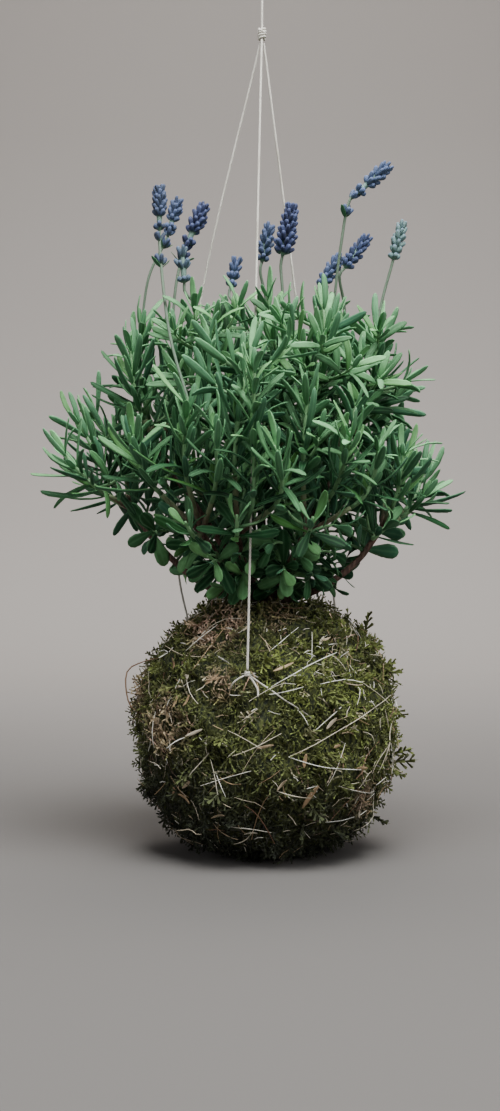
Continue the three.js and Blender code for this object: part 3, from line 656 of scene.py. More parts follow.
def string_look(name, look, clean_place=None):
    """Twisted cotton: fibres along the ply, patches of dirt, painted shade in the hollows between plies, and
    cleaner about one place if given.
    """
    r = Recipe(name)
    fibre = r.grain(2600, 3, stretch=0.35)
    dirt = r.ramp(r.grain(60, 4), 0.5, 0.75)
    tint = r.mix(fibre * 0.35, look.string_colour, (0.36, 0.33, 0.28))
    tint = r.mix(dirt * 0.6, tint, look.soiled_colour)
    if clean_place is not None:
        grimy = [c * 0.5 for c in look.soiled_colour]
        tint = r.mix(r.ramp(r.apart(clean_place), 0.012, 0.034) * 0.85, tint, grimy)
    # Painted shade in the hollows between the plies.
    hollow = 1 - r.ramp(r.attribute("crest"), 0.0, 0.8)
    tint = r.mix(hollow * 0.65, tint, (0.20, 0.17, 0.13))
    return r.finish(tint, 0.9, fibre, 0.08, Sheen_Weight=0.2)


def soil_look():
    r = Recipe("moist_soil")
    crumbs = r.grain(420, 5, roughness=0.65)
    colour = r.mix(r.ramp(crumbs, 0.4, 0.7), (0.012, 0.009, 0.007), (0.07, 0.045, 0.03))
    return r.finish(colour, 0.85 + crumbs * 0.1, crumbs, 1.5, Specular_IOR_Level=0.3)


def bark_look(look):
    r = Recipe("woody_bark")
    strips = r.grain(900, 4, stretch=0.22)
    blotch = r.grain(140, 2)
    colour = r.mix(r.ramp(strips, 0.35, 0.7), look.bark_colour, (0.15, 0.085, 0.06))
    colour = r.mix(r.ramp(blotch, 0.5, 0.75) * 0.5, colour, (0.16, 0.13, 0.10))
    colour = r.mix(r.ramp(r.attribute("young"), 0.35, 1.0), colour, (0.16, 0.21, 0.10))
    return r.finish(colour, 0.7 + strips * 0.25, strips, 0.4)


def leaf_look(look):
    """A lavender leaf: grey-green and downy, paler to the tip of the shoot, with a pale rolled edge."""
    r = Recipe("lavender_leaf")
    shade, young = r.attribute("shade"), r.attribute("young")
    blade = r.parts(r.attribute("blade", "Vector"))
    mottle = r.grain(260, 3)
    old = r.mix(shade, look.leaf_dark, look.leaf_mid)
    colour = r.mix(r.ramp(young * 0.8 + shade * 0.25, 0.2, 0.95), old, look.leaf_young)
    colour = r.mix(r.ramp(mottle, 0.35, 0.7) * 0.3, colour, look.leaf_mid)
    aside = r.sum("ABSOLUTE", blade[0])
    edge, vein = r.ramp(aside, 0.55, 1.0), 1 - r.ramp(aside, 0.0, 0.3)
    under = 1 - r.ramp(blade[2], 0.3, 0.7)
    # Painted light: leaves drawn at random are painted yellower, as if lit through from behind.
    colour = r.mix(r.ramp(shade, 0.6, 0.95) * 0.4, colour, look.leaf_painted_backlight)
    colour = r.mix(under * 0.6, colour, look.leaf_under)
    colour = r.mix(edge * 0.25 + vein * (0.1 + young * 0.15), colour, look.leaf_young)
    stem = r.mix(shade, look.stem_colour, look.stalk_colour)
    colour = r.mix(r.ramp(aside, 1.4, 1.6) * r.ramp(young, 0.05, 0.4), colour, stem)
    down = r.grain(5200, 2)
    return r.finish(colour, 0.55 + down * 0.2, down, 0.06, Specular_IOR_Level=0.18, Sheen_Weight=0.02)


def flower_look(look):
    """Calyces: ribbed, violet-blue and woolly, greener at the foot and paler at the mouth."""
    r = Recipe("lavender_flower")
    shade, dark, green = r.attribute("shade"), r.attribute("dark"), r.attribute("green")
    blade = r.parts(r.attribute("blade", "Vector"))
    colour = r.mix(shade * 0.45 + dark * 0.8, look.flower_light, look.flower_dark)
    colour = r.mix(green * 0.8, colour, look.flower_green)
    foot = 1 - r.ramp(blade[1], 0.0, 0.35)
    colour = r.mix(foot * 0.55, colour, look.flower_green)
    mouth = r.ramp(blade[1], 0.8, 1.0)
    colour = r.mix(mouth * 0.3, colour, look.flower_light)
    rib = r.ramp(blade[2], 0.2, 0.9)
    colour = r.mix(rib * 0.25, colour, look.flower_light)
    wool = r.grain(4200, 2)
    return r.finish(colour, 0.62 + wool * 0.2, wool, 0.08, Sheen_Weight=0.05, Sheen_Roughness=0.4)


def stage_look(colour):
    r = Recipe("pale_stage")
    cloud = r.grain(2.5, 3)
    tint = r.mix(cloud * 0.25, colour, [c * 0.93 for c in colour])
    _, depth, _ = r.parts(r.place())
    # Painted shade: the floor is painted darker towards the front, fading to its own colour towards the
    # backdrop.
    tint = r.mix(1 - r.ramp(depth, 0.0, SWEEP_FOOT + SWEEP_RADIUS * 0.5), tint, [c * 0.25 for c in colour])
    return r.finish(tint, 0.95, Specular_IOR_Level=0.1)


# Geometry node trees
class Tree(Nodes):
    """A geometry node tree with named inputs, for a modifier."""

    def __init__(self, name, inputs):
        self.tree = bpy.data.node_groups.new(name, "GeometryNodeTree")
        self.tree.is_modifier = True
        self.keys = {}
        for label, kind in {"Geometry": "Geometry", **inputs, "Material": "Material"}.items():
            made = self.tree.interface.new_socket(label, in_out="INPUT", socket_type="NodeSocket" + kind)
            self.keys[label] = made.identifier
        self.tree.interface.new_socket("Geometry", in_out="OUTPUT", socket_type="NodeSocketGeometry")
        self.given = self.tree.nodes.new("NodeGroupInput").outputs

    def node(self, kind, settings=None, inputs=None):
        return self.put(kind if "Node" in kind else "GeometryNode" + kind, settings, inputs).outputs

    def named(self, name, kind="FLOAT"):
        return self.node("InputNamedAttribute", {"data_type": kind}, {"Name": name})["Attribute"]

    def times(self, a, b):
        return self.node("ShaderNodeMath", {"operation": "MULTIPLY"}, {0: a, 1: b})["Value"]

    def drawn(self, low, high, later, kind="FLOAT"):
        """A random value between two others, by a seed some steps after the tree's own."""
        seed = self.node("FunctionNodeIntegerMath", {"operation": "ADD"}, {0: self.given["Seed"], 1: later})
        made = self.put("FunctionNodeRandomValue", {"data_type": kind})
        low_socket, high_socket, *_, seed_socket = [s for s in made.inputs if s.enabled]
        for socket, value in ((low_socket, low), (high_socket, high), (seed_socket, seed["Value"])):
            self.feed(socket, value)
        return next(s for s in made.outputs if s.enabled)

    def copies(self, points, index, rotation, scale):
        """A copy of a template on each point, the one that its index says."""
        kinds = self.node("CollectionInfo", inputs={
            "Collection": self.given["Templates"], "Separate Children": True, "Reset Children": True})
        return self.node("InstanceOnPoints", inputs={
            "Points": points, "Instance": kinds["Instances"], "Pick Instance": True,
            "Instance Index": index, "Rotation": rotation, "Scale": scale})["Instances"]

    def close(self, geometry):
        """Realize Instances and Set Material, and out."""
        whole = self.node("RealizeInstances", inputs={"Geometry": geometry})["Geometry"]
        done = self.node("SetMaterial", inputs={"Geometry": whole, "Material": self.given["Material"]})
        self.put("NodeGroupOutput", inputs={"Geometry": done["Geometry"]})
        return self

    def grow(self, piece, **values):
        """Puts the tree on a piece, sets its inputs and turns the result into a plain mesh."""
        modifier = piece.modifiers.new(self.tree.name, "NODES")
        modifier.node_group = self.tree
        for label, value in values.items():
            modifier[self.keys[label.replace("_", " ")]] = value
        return hardened(piece)


def growth_tree():
    """Puts a leaf, bud or bract on each loose point of a stem, by the point's own attributes."""
    t = Tree("growths_on_a_stem", {"Templates": "Collection", "Size": "Float"})
    loose = t.node("SeparateGeometry", {"domain": "POINT"}, {
        "Geometry": t.given["Geometry"], "Selection": t.named("growth", "BOOLEAN")})
    turn = t.node("FunctionNodeEulerToRotation", inputs={"Euler": t.named("turn", "FLOAT_VECTOR")})
    size = t.node("ShaderNodeVectorMath", {"operation": "SCALE"}, {
        0: t.named("size", "FLOAT_VECTOR"), "Scale": t.given["Size"]})
    grown = t.copies(loose["Selection"], t.named("kind", "INT"), turn["Rotation"], size["Vector"])
    join = t.put("GeometryNodeJoinGeometry", inputs={"Geometry": grown})
    t.feed(join.inputs["Geometry"], loose["Inverted"])
    return t.close(join.outputs["Geometry"])


def sprig_tree():
    """Strews sprigs over a surface: as many, as long and leaning as its inputs say."""
    t = Tree("sprigs_on_a_surface", {
        "Templates": "Collection", "Density": "Float", "Length": "Float", "Least lean": "Float",
        "Most lean": "Float", "Seed": "Int"})
    strewn = t.node("DistributePointsOnFaces", {"distribute_method": "RANDOM"}, {
        "Mesh": t.given["Geometry"], "Density": t.times(t.named("where"), t.given["Density"]),
        "Seed": t.given["Seed"]})
    low = t.node("ShaderNodeCombineXYZ", inputs={"X": t.given["Least lean"]})["Vector"]
    high = t.node("ShaderNodeCombineXYZ", inputs={"X": t.given["Most lean"], "Z": tau})["Vector"]
    lean = t.node("FunctionNodeEulerToRotation", inputs={"Euler": t.drawn(low, high, 0, "FLOAT_VECTOR")})
    turn = t.node("FunctionNodeRotateRotation", {"rotation_space": "LOCAL"}, {
        "Rotation": strewn["Rotation"], "Rotate By": lean["Rotation"]})
    size = t.times(t.drawn(0.6, 1.35, 11), t.given["Length"])
    grown = t.copies(strewn["Points"], t.drawn(0, 99, 23, "INT"), turn["Rotation"], size)
    shaded = t.node("StoreNamedAttribute", {"data_type": "FLOAT", "domain": "INSTANCE"}, {
        "Geometry": grown, "Name": "shade", "Value": t.drawn(0.0, 1.0, 37)})
    return t.close(shaded["Geometry"])


def path_tree():
    """A thin round stalk along each line of edges, as thick as its points say."""
    t = Tree("stalks_along_lines", {"Radius": "Float", "Sides": "Int"})
    line = t.node("MeshToCurve", inputs={"Mesh": t.given["Geometry"]})["Curve"]
    circle = {"Resolution": t.given["Sides"], "Radius": 1.0}
    section = t.node("CurvePrimitiveCircle", {"mode": "RADIUS"}, circle)["Curve"]
    thick = t.times(t.named("thick"), t.given["Radius"])
    stalk = t.node("CurveToMesh", inputs={
        "Curve": line, "Profile Curve": section, "Scale": thick, "Fill Caps": True})
    return t.close(stalk["Mesh"])


# Templates that the trees copy: one unit long, and a unit wide where they have a width
def templates(name, meshes):
    collection = bpy.data.collections.new(name)
    for k, mesh in enumerate(meshes):
        object_of(f"{name}_{k:02d}", mesh, collection)
    return collection


def drop_templates(collection):
    for each in list(collection.objects):
        mesh = each.data
        bpy.data.objects.remove(each)
        bpy.data.meshes.remove(mesh)
    bpy.data.collections.remove(collection)


# A blade's cross-section, as shares of its half width and, upwards, of its length
BLADE_SECTION = [(0, -0.006), (0.52, 0.010), (1.0, -0.006), (0.66, -0.026), (0, -0.034)]
# How much of a leaf's upper side each point of the whole section has
BLADE_UPPER = [1, 1, 0.5, 0, 0, 0, 0.5, 1]
BLADE_WIDTHS = {
    False: [(0, 0.24), (0.1, 0.58), (0.3, 0.88), (0.6, 1.0), (0.84, 0.86), (0.955, 0.5)],
    True: [(0, 0.2), (0.14, 0.3), (0.36, 0.6), (0.64, 1.0), (0.84, 0.94), (0.955, 0.56)],
}


def blade_mesh(broad, bend, twist):
    """A leaf that arches by bend from root to tip, along +Y, with its keel underneath."""
    outline = BLADE_SECTION + [(-x, z) for x, z in reversed(BLADE_SECTION[1:-1])]
    rings, values = [], []

    def spine(s):
        return vec([0, sin(bend * s), 1 - cos(bend * s)]) / bend

    for s, wide in BLADE_WIDTHS[broad]:
        upward = vec([0, -sin(bend * s), cos(bend * s)])
        thick = min(1.0, 0.55 + wide * 0.6)
        ring = []
        for x, z in outline:
            out = x * wide / 2
            lift = z * thick + out * sin(twist * s) * 0.15
            ring.append(spine(s) + vec([out * cos(twist * s), 0, 0]) + lift * upward)
        rings.append(ring)
        values += [(x, s, side) for (x, _), side in zip(outline, BLADE_UPPER)]
    shape = Shape(blade="FLOAT_VECTOR")
    shape.skin([*rings, [spine(1)]], blade=[*values, (0, 1, 1)])
    return unscaled(shape.mesh("blade"))


def unscaled(mesh):
    """Template meshes are one metre long, so that a size in metres scales them."""
    mesh.transform(Matrix.Scale(1 / MM, 4))
    return mesh


def leaf_templates():
    return [blade_mesh(broad, bend, twist)
            for broad in (False, True) for bend, twist in zip(LEAF_BENDS, LEAF_TWISTS)]


CALYX = [(0.0, 0.20), (0.10, 0.38), (0.42, 0.5), (0.78, 0.46), (0.95, 0.33)]
CALYX_SIDES = 8
CALYX_GROOVE = 0.84
# The corners of a strand's rings, in radians
THIRDS = np.array([0, 2.094, 4.189])


def calyx_mesh(curve):
    """A barrel with ribs, along +Y, a little curved."""
    rings, values = [], []
    for s, wide in CALYX:
        ring = []
        for k, angle in enumerate(turns(CALYX_SIDES)):
            reach = wide * (1.0 if k % 2 else CALYX_GROOVE)
            ring.append((reach * cos(angle), s, -reach * sin(angle) + curve * s * s))
            values.append((angle, s, k % 2))
        rings.append(ring)
    shape = Shape(blade="FLOAT_VECTOR")
    shape.skin([*rings, [(0, 1.0, curve)]], blade=[*values, (0, 1, 1)])
    return unscaled(shape.mesh("calyx"))


def put_strand(shape, root, way, up, length, nodes, wide, bend, swing, spin):
    """A moss strand with scales: three-sided rings, narrow and wide in turn, each turned on the last."""
    side = np.cross(way, up)

    def spine(s):
        return root + length * (way * (s - 0.2 * abs(bend) * s * s) + up * bend * s * s
                                + side * swing * sin(2.6 * s))

    rings, tips = [], []
    for k in range(2 * nodes + 1):
        s, scale = k / (2 * nodes + 1), k % 2
        radius = length * wide * (1 - 0.45 * s) * (1.0 if scale else 0.28)
        axis = unit(spine(s + 0.01) - spine(s))
        out, over = across(axis, up)
        centre = spine(s) + axis * length * (0.5 / nodes if scale else 0)
        rings.append([centre + radius * at_angle(out, over, a) for a in spin + k // 2 * 1.1 + THIRDS])
        tips += [s * 0.6 + 0.4 * scale] * 3
    shape.skin([*rings, [spine(1.0)]], tip=[*tips, 1.0])
    return spine


def put_frond(shape, root, way, up, length, branches, draw, wide=0.07):
    """A frond: a strand with shorter strands on both sides, all in one plane."""
    bend = (draw() - 0.5) * 0.5
    spine = put_strand(shape, root, way, up, length, 3, wide, bend, (draw() - 0.5) * 0.2, draw() * 6)
    for k in range(branches):
        s = 0.2 + 0.62 * k / branches
        axis = unit(spine(s + 0.02) - spine(s))
        side = unit(np.cross(axis, up)) * (1 if k % 2 else -1)
        out = unit(axis * 0.75 + side * (0.75 + 0.3 * draw()) + up * (draw() - 0.5) * 0.5)
        upward, part = unit(up - up.dot(out) * out), length * (0.46 - 0.22 * s)
        put_strand(shape, spine(s), out, upward, part, 1, wide + 0.08, bend, 0, draw() * 6)


def sprig_templates(seed, count, bend=0.0, wide=None):
    """A few different strands, or fronds where no width is given."""
    draw = seeded(seed)
    meshes = []
    for _ in range(count):
        shape = Shape(tip="FLOAT")
        if wide is None:
            put_frond(shape, np.zeros(3), Z, Y, 1.0, 4, draw)
        else:
            bent = bend * (0.4 + 1.2 * draw())
            put_strand(shape, np.zeros(3), Z, Y, 1.0, 4, wide, bent, (draw() - 0.5) * 0.5, draw() * 6)
        meshes.append(unscaled(shape.mesh("sprig", smooth=False)))
    return meshes


# What each part of the plant takes up, as small balls, so that leaves keep clear of it
class Room:
    """Balls that are taken, each a place, a radius, its owner's number and whether it is a stem's."""

    FIRST_SIZE = 4096

    def __init__(self):
        self.count, self.numbers = 0, {}
        self.balls = np.zeros((self.FIRST_SIZE, 6))

    def take(self, centre, radius, owner, stem=False):
        if self.count == len(self.balls):
            self.balls = np.concatenate([self.balls, np.zeros_like(self.balls)])
        self.balls[self.count] = (*centre, radius, self.numbers.setdefault(owner, len(self.numbers)), stem)
        self.count += 1

    def take_tube(self, points, radii, owner, stem=False):
        radii = np.broadcast_to(radii, len(points))
        for a, b, low, high in zip(points, points[1:], radii, radii[1:]):
            steps = ceil(norm(b - a) / BALL_STEP)
            for k in range(steps + 1):
                self.take(blend_of(a, b, k / steps), blend_of(low, high, k / steps), owner, stem)

    def near(self, root, reach, owner=None):
        """The balls within reach of a place, and which of them are the owner's own, or its own stem."""
        balls = self.balls[:self.count]
        balls = balls[norm(balls[:, :3] - root, axis=1) < reach]
        own = balls[:, 4] == self.numbers.get(owner, -1)
        return balls, own, own & (balls[:, 5] > 0)


class Leaves(list):
    """The leaves of one shoot, each placed where it keeps clear of all that is taken."""

    def __init__(self, room, owner, broad, shade):
        self.room, self.owner, self.broad, self.shade = room, owner, broad, shade

    def add(self, stand, heading, lean, length, width, bend, young, tries=TRIES, slack=0.0, paler=0.0):
        balls, own, own_stem = self.room.near(stand["centre"], length + 10, self.owner)
        apart = balls[:, 3] + np.where(own, LEAF_GAP / 3, LEAF_GAP) - slack
        for turned, lifted, shorter in tries:
            tilt = radians(max(LEAST_LEAN, lean + lifted))
            leaf = leaf_at(stand, radians(heading), radians(heading + turned), tilt)
            leaf.update(bend=bend, width=width, length=length * shorter, broad=self.broad)
            if over_the_moss(leaf) and is_clear(leaf, balls[:, :3], apart, own_stem):
                for centre, radius in balls_along(leaf):
                    self.room.take(centre, radius, self.owner)
                shade = self.shade()
                self.append({**leaf, "young": young + paler * shade ** 2, "shade": shade})
                return


def is_clear(leaf, centres, apart, own_stem):
    """Whether a leaf keeps apart from all balls. Near its root, its own stem doesn't count."""
    for centre, radius in balls_along(leaf):
        beside = own_stem & (norm(centre - leaf["root"]) < ROOT_REACH)
        if np.any(~beside & (norm(centres - centre, axis=1) <= apart + radius)):
            return False
    return True


def midrib(leaf, s):
    turn, reach = leaf["bend"] * s, leaf["length"] / leaf["bend"]
    return leaf["root"] + leaf["along"] * sin(turn) * reach + leaf["up"] * (1 - cos(turn)) * reach


def balls_along(leaf):
    steps = ceil(leaf["length"] / 2)
    for k in range(steps):
        s = (k + 1) / steps
        half = leaf["width"] / 2 * min(1, 0.45 + s * 1.6, (1.25 - s) * 2)
        yield midrib(leaf, s) - 0.3 * leaf["up"], half


def leaning(root, axis, out, tilt):
    """A leaf or bud that leans out from an axis: its root, its direction and its upper side."""
    return {"root": root, "along": at_angle(axis, out, tilt), "up": axis * sin(tilt) - out * cos(tilt)}


def leaf_at(stand, heading, turned, tilt):
    """A leaf with its root on the face of a stem."""
    face, out = (at_angle(stand["side"], stand["over"], angle) for angle in (heading, turned))
    return leaning(stand["centre"] + face * stand["radius"] * sqrt(0.5), stand["axis"], out, tilt)


def over_the_moss(leaf):
    """Whether a leaf stays off the moss ball."""
    tip = midrib(leaf, 1.0)
    beside = hypot(tip[0], tip[1]) > SHOULDER_RADIUS
    return norm(tip - BALL_CENTRE) > MOSS_REACH and (tip[2] > MOSS_TOP or beside)


# Routes of the plant's stems
Shoot = namedtuple("Shoot", "fork foot tip pairs size")
Spike = namedtuple("Spike", "shoot via foot tip width whorls parted dark green")
ROUTES = {name: [vec(point) for point in (BRANCH_START, *route)] for name, route in BRANCHES.items()}
SHOOTS = {name: Shoot(fork, vec(foot), vec(tip), pairs, BROAD if name.startswith("low_") else NARROW)
          for name, (fork, foot, tip, pairs) in SHOOT_PLACES.items()}
SPIKES = {name: Spike(shoot, vec(via), vec(foot), vec(tip), *rest)
          for name, (shoot, via, foot, tip, *rest) in SPIKE_PLACES.items()}


def shoot_line(shoot):
    way = unit(shoot.foot - ROUTES[shoot.fork][-1])
    return arc(shoot.foot + way * GAP, shoot.foot + way * 0.45 * norm(shoot.tip - shoot.foot), shoot.tip)


def stalk_line(spike):
    axis = unit(spike.tip - spike.foot)
    end = spike.foot - axis * GAP
    return [shoot_line(SHOOTS[spike.shoot]).at(1.0), spike.via, end - axis * 4, end]


def string_ends():
    """Where each string starts above its tie, and ends under the gathering knot."""
    ends = {}
    for name, tie in ties().items():
        start = tie + Z * (TIE_KNOT_RADIUS + GAP)
        spread = unit((start - KNOT_CENTRE) * (1, 1, 0))
        ends[name] = (start, KNOT_CENTRE + spread * KNOT_OFFSET - Z * (KNOT_HALF_HEIGHT + GAP))
    return ends


def string_path(name, start, end):
    if not STRING_VIA[name]:
        return Curve(lambda t: blend_of(start, end, t))
    return curve_through([start, *STRING_VIA[name], end])


_surfaces = {}


def surface(name):
    """The surface of a node, or of the bed of moss once it is made, to feel for with rays."""
    if name not in _surfaces:
        mesh = (bpy.data.objects[name] if name == "moss_bed" else frame["nodes"][name]).data
        points = [v.co / MM for v in mesh.vertices]
        _surfaces[name] = BVHTree.FromPolygons(points, [tuple(p.vertices) for p in mesh.polygons])
    return _surfaces[name]


def reach_of(name, centre, way):
    """How far a surface is from a centre, felt for from outside."""
    hit = surface(name).ray_cast(Vector(centre + way * OUTSIDE), Vector(-way))
    return OUTSIDE - hit[3]


def ties():
    made = {}
    for name, point in TIES.items():
        away = unit(point - BALL_CENTRE)
        made[name] = BALL_CENTRE + away * (reach_of("moss_wrap", BALL_CENTRE, away) + TIE_KNOT_RADIUS + GAP)
    return made


def plant_room():
    """The room that wood, strings, spikes and stems take before any leaf."""
    room = Room()
    for route in ROUTES.values():
        count = len(route) + 1
        radii = np.linspace(BRANCH_RADIUS, FORK_RADIUS, count)
        room.take_tube(curve_through(route).spread(count), radii, "wood")
    for shoot in SHOOTS.values():
        room.take_tube([ROUTES[shoot.fork][-1], shoot.foot], [TWIG_RADIUS + 0.2, TWIG_RADIUS], "wood")
    for name, (start, end) in string_ends().items():
        path = string_path(name, start, end)
        room.take_tube([path.point_at(i / 40) for i in range(41)], STRING_RADIUS, f"string_{name}")
    for name, spike in SPIKES.items():
        half = spike.width / 2
        middle = blend_of(spike.foot, spike.tip, 0.8)
        room.take_tube([spike.foot, middle, spike.tip], [half, half, 1], f"spike_{name}")
        room.take_tube(stalk_line(spike), STALK_RADIUS, f"shoot_{spike.shoot}", True)
    for name, shoot in SHOOTS.items():
        stem = shoot_line(shoot)
        room.take_tube([stem.point_at(i / 6) for i in range(7)], STEM_RADIUS, f"shoot_{name}", True)
    return room


# Shoots
def stem_radius(t):
    return blend_of(STEM_RADIUS, STEM_TIP_RADIUS, t * t)


class Stand:
    """Stands along a stem, each with its directions carried on from the one before."""

    def __init__(self, hint):
        self.hint = hint

    def at(self, curve, share, radius):
        axis = curve.tangent(share)
        side, self.hint = across(axis, self.hint)
        return {"centre": curve.at(share), "axis": axis, "side": side, "over": self.hint, "radius": radius}


def main_leaves(room, index, name, stalks):
    """The shoot's pairs of leaves, placed by the same rule as on the solid."""
    pairs, size = SHOOTS[name].pairs, SHOOTS[name].size
    stem = shoot_line(SHOOTS[name])
    draw = seeded(index * 101 + 7)
    step = (stem.length - FIRST_PAIR - LAST_PAIR) / pairs
    stands = Stand(any_way(draw, 0, 0.2))
    stands.at(stem, 0, STEM_RADIUS)
    leaves = Leaves(room, f"shoot_{name}", size.broad, lambda: seeded(index * 977 + len(leaves) * 13 + 3)())
    nodes = []
    for k in range(pairs + 1):
        t, share = (FIRST_PAIR + k * step) / stem.length, k / pairs
        stand = stands.at(stem, t, stem_radius(t))
        nodes.append((stand, share))
        for face in (k % 2, k % 2 + 2):
            heading = (face + 1) * 90 + (draw() - 0.5) * 30
            lean = blend_of(64, 24, share) + (draw() - 0.5) * 14
            bend = pick(draw, BENDS)
            length = size.length * (0.84 + 0.28 * draw()) * (1 - 0.34 * share * share)
            width = size.width * (0.88 + 0.24 * draw()) * (1 - 0.15 * share)
            leaves.add(stand, heading, lean, length, width, bend, share)
    bracts = Leaves(room, leaves.owner, BRACT.broad, lambda: 0.4)
    if name in stalks:
        route, has_bracts = stalks[name]
        for share in (0.12, 0.5, BRACT_PLACE, 1):
            stand = stands.at(route, share, STALK_RADIUS)
            if has_bracts and share == BRACT_PLACE:
                for heading in (90, 270):
                    bracts.add(stand, heading, 48, BRACT.length, BRACT.width, 0.3, 0.3)
    return leaves + bracts, nodes, stem


def extra_leaves(room, index, name, nodes, stem):
    """Leaves that only the finer piece has: between the pairs, in their axils and at the shoot's tip."""
    size = SHOOTS[name].size
    draw = seeded(index * 313 + 29)
    leaves = Leaves(room, f"shoot_{name}", size.broad, draw)
    little = {"tries": LITTLE_TRIES, "slack": 0.35}
    for k, (stand, share) in enumerate(nodes):
        for heading in ((k % 2 + 2) * 90, k % 2 * 90):
            leaves.add(stand, heading + (draw() - 0.5) * 50, blend_of(50, 22, share) + (draw() - 0.5) * 16,
                       size.length * (0.42 + 0.3 * draw()) * (1 - 0.3 * share),
                       size.width * (0.7 + 0.2 * draw()), pick(draw, BENDS[:3]),
                       min(1.0, share + 0.2), **little)
    for (a, low), (_, high) in zip(nodes, nodes[1:]):
        share = (low + high) / 2
        t = blend_of(FIRST_PAIR, stem.length - LAST_PAIR, share) / stem.length
        stand = Stand(a["over"]).at(stem, t, stem_radius(t))
        turn = draw() * 360
        for heading in (turn, turn + 120, turn + 240):
            bend = pick(draw, ANY_BENDS)
            leaves.add(stand, heading + (draw() - 0.5) * 40, blend_of(60, 40, share) + (draw() - 0.5) * 24,
                       size.length * (0.78 + 0.32 * draw()) * (1 - 0.25 * share),
                       size.width * (0.9 + 0.2 * draw()), bend, share, **little)
    stand, _ = nodes[-1]
    for k in range(8):
        lean = 14 + 11 * (k % 4) + 14 * draw()
        top = {**stand, "centre": stand["centre"] + stand["axis"] * (1.0 + 1.2 * draw())}
        leaves.add(top, k * GOLDEN_TURN + draw() * 20, lean,
                   size.length * (0.42 + 0.12 * (k % 4) + 0.2 * draw()),
                   size.width * (0.66 + 0.2 * draw()), pick(draw, ANY_BENDS), 1.0, **little)
    return leaves


# The short side shoots that fill the plant's middle: how many, and how wide the plant is at each height
INNER_SHOOTS = 545
INNER_WIDTH = [(124, 24), (135, 36), (150, 48), (165, 62), (185, 72), (225, 70), (250, 62), (272, 44)]
# How many of them are low down, and below what height
LOW_SHARE = 0.36
LOW_HEIGHT = 165
BROAD_HEIGHT = 172
INNER_LEAVES = {"low": LeafSize(18.5, 7.2, True), "high": LeafSize(22.5, 4.3, False)}
INNER_SLACK = 0.3
# How often a side shoot that has no room is drawn anew
INNER_TRIES = 7
# The angle from one to the next round the plant, in radians
NEXT_TURN = 2.39996
# The branches that are seen from the front, and up to what share of their length they are bare
BARE_BRANCHES = {"left_low": 0.8, "right_low": 0.8}
# How many places for side shoots the trunk's top has, and how far out they are
TRUNK_FEET = 14
TRUNK_FOOT_RADIUS = 3.5
# A side shoot's stem: its radius at both ends, and its points, to keep it clear of others and to draw it
INNER_STEM = (0.85, 0.55)
INNER_POINTS = 9
INNER_RINGS = 8
# The shortest and the longest way from a side shoot's foot to its tip
INNER_REACH = (13.0, 50.0)
# Where a high side shoot's curve bends, as shares of the way to its tip, so that it ends upright
UPRIGHT = np.array([0.78, 0.78, 0.36])
# The tips of side shoots that hide the branches' feet from the front
LOW_TIPS = [
    (-27, -44, 141), (-10, -38, 135), (9, -42, 139), (24, -36, 134), (-35, -36, 151), (1, -45, 151),
    (19, -44, 153), (-20, -32, 131), (33, -30, 146), (-14, -42, 147), (13, -30, 130), (-5, -28, 133),
    (14, -26, 137), (-18, -22, 139), (26, -20, 140), (5, -30, 144), (-8, -24, 150), (20, -30, 148),
    (-26, -30, 146), (36, -18, 150), (0, -26, 129), (-14, -28, 131), (20, -18, 133), (28, -28, 138),
    (-2, -45, 143), (-26, -42, 143), (16, -40, 145),
]
# The side shoot that stands right in front of the front string
COVER_STEM = [(-14, -39, 158.5), (-7.3, -57.4, 167), (-6.6, -64.2, 205), (-6.0, -71.7, 233)]
COVER_RADII = (1.15, 0.8)
COVER_SLACK = 1.6


def wood_places():
    """Places on the branches and twigs where a side shoot may start, each with its branch."""
    places = []
    for name, route in ROUTES.items():
        curve = curve_through(route)
        for share in np.linspace(BARE_BRANCHES.get(name, 0.12), 1.0, max(6, round(curve.length / 4))):
            places.append((name, curve.at(share)))
    for shoot in SHOOTS.values():
        fork = ROUTES[shoot.fork][-1]
        places += [(shoot.fork, blend_of(fork, shoot.foot, share)) for share in (0.35, 0.8)]
        stem = shoot_line(shoot)
        places += [(shoot.fork, stem.at(share)) for share in (0.2, 0.4, 0.6, 0.8)]
    for turn in 2.4 * np.arange(TRUNK_FEET):
        out = TRUNK_FOOT_RADIUS
        places.append(("front" if sin(turn) < 0 else "back", vec([out * cos(turn), out * sin(turn), 126.0])))
    return places


def clear_stem(room, points, radius):
    """Whether a side shoot's stem stays clear of all but the branch that it grows from."""
    balls, _, _ = room.near(points[len(points) // 2], INNER_REACH[1])
    apart = balls[:, 3] + radius + GAP
    return all(np.all(norm(balls[:, :3] - point, axis=1) >= apart) for point in points[2:])


def cover_shoot(room):
    cover = curve_through(COVER_STEM)
    room.take_tube(cover.spread(20), np.linspace(*COVER_RADII, 20), "cover", True)
    leaves = inner_leaves(room, "cover", cover, COVER_STEM[-1][2], seeded(15), COVER_RADII, COVER_SLACK)
    return "front", cover, leaves, COVER_RADII


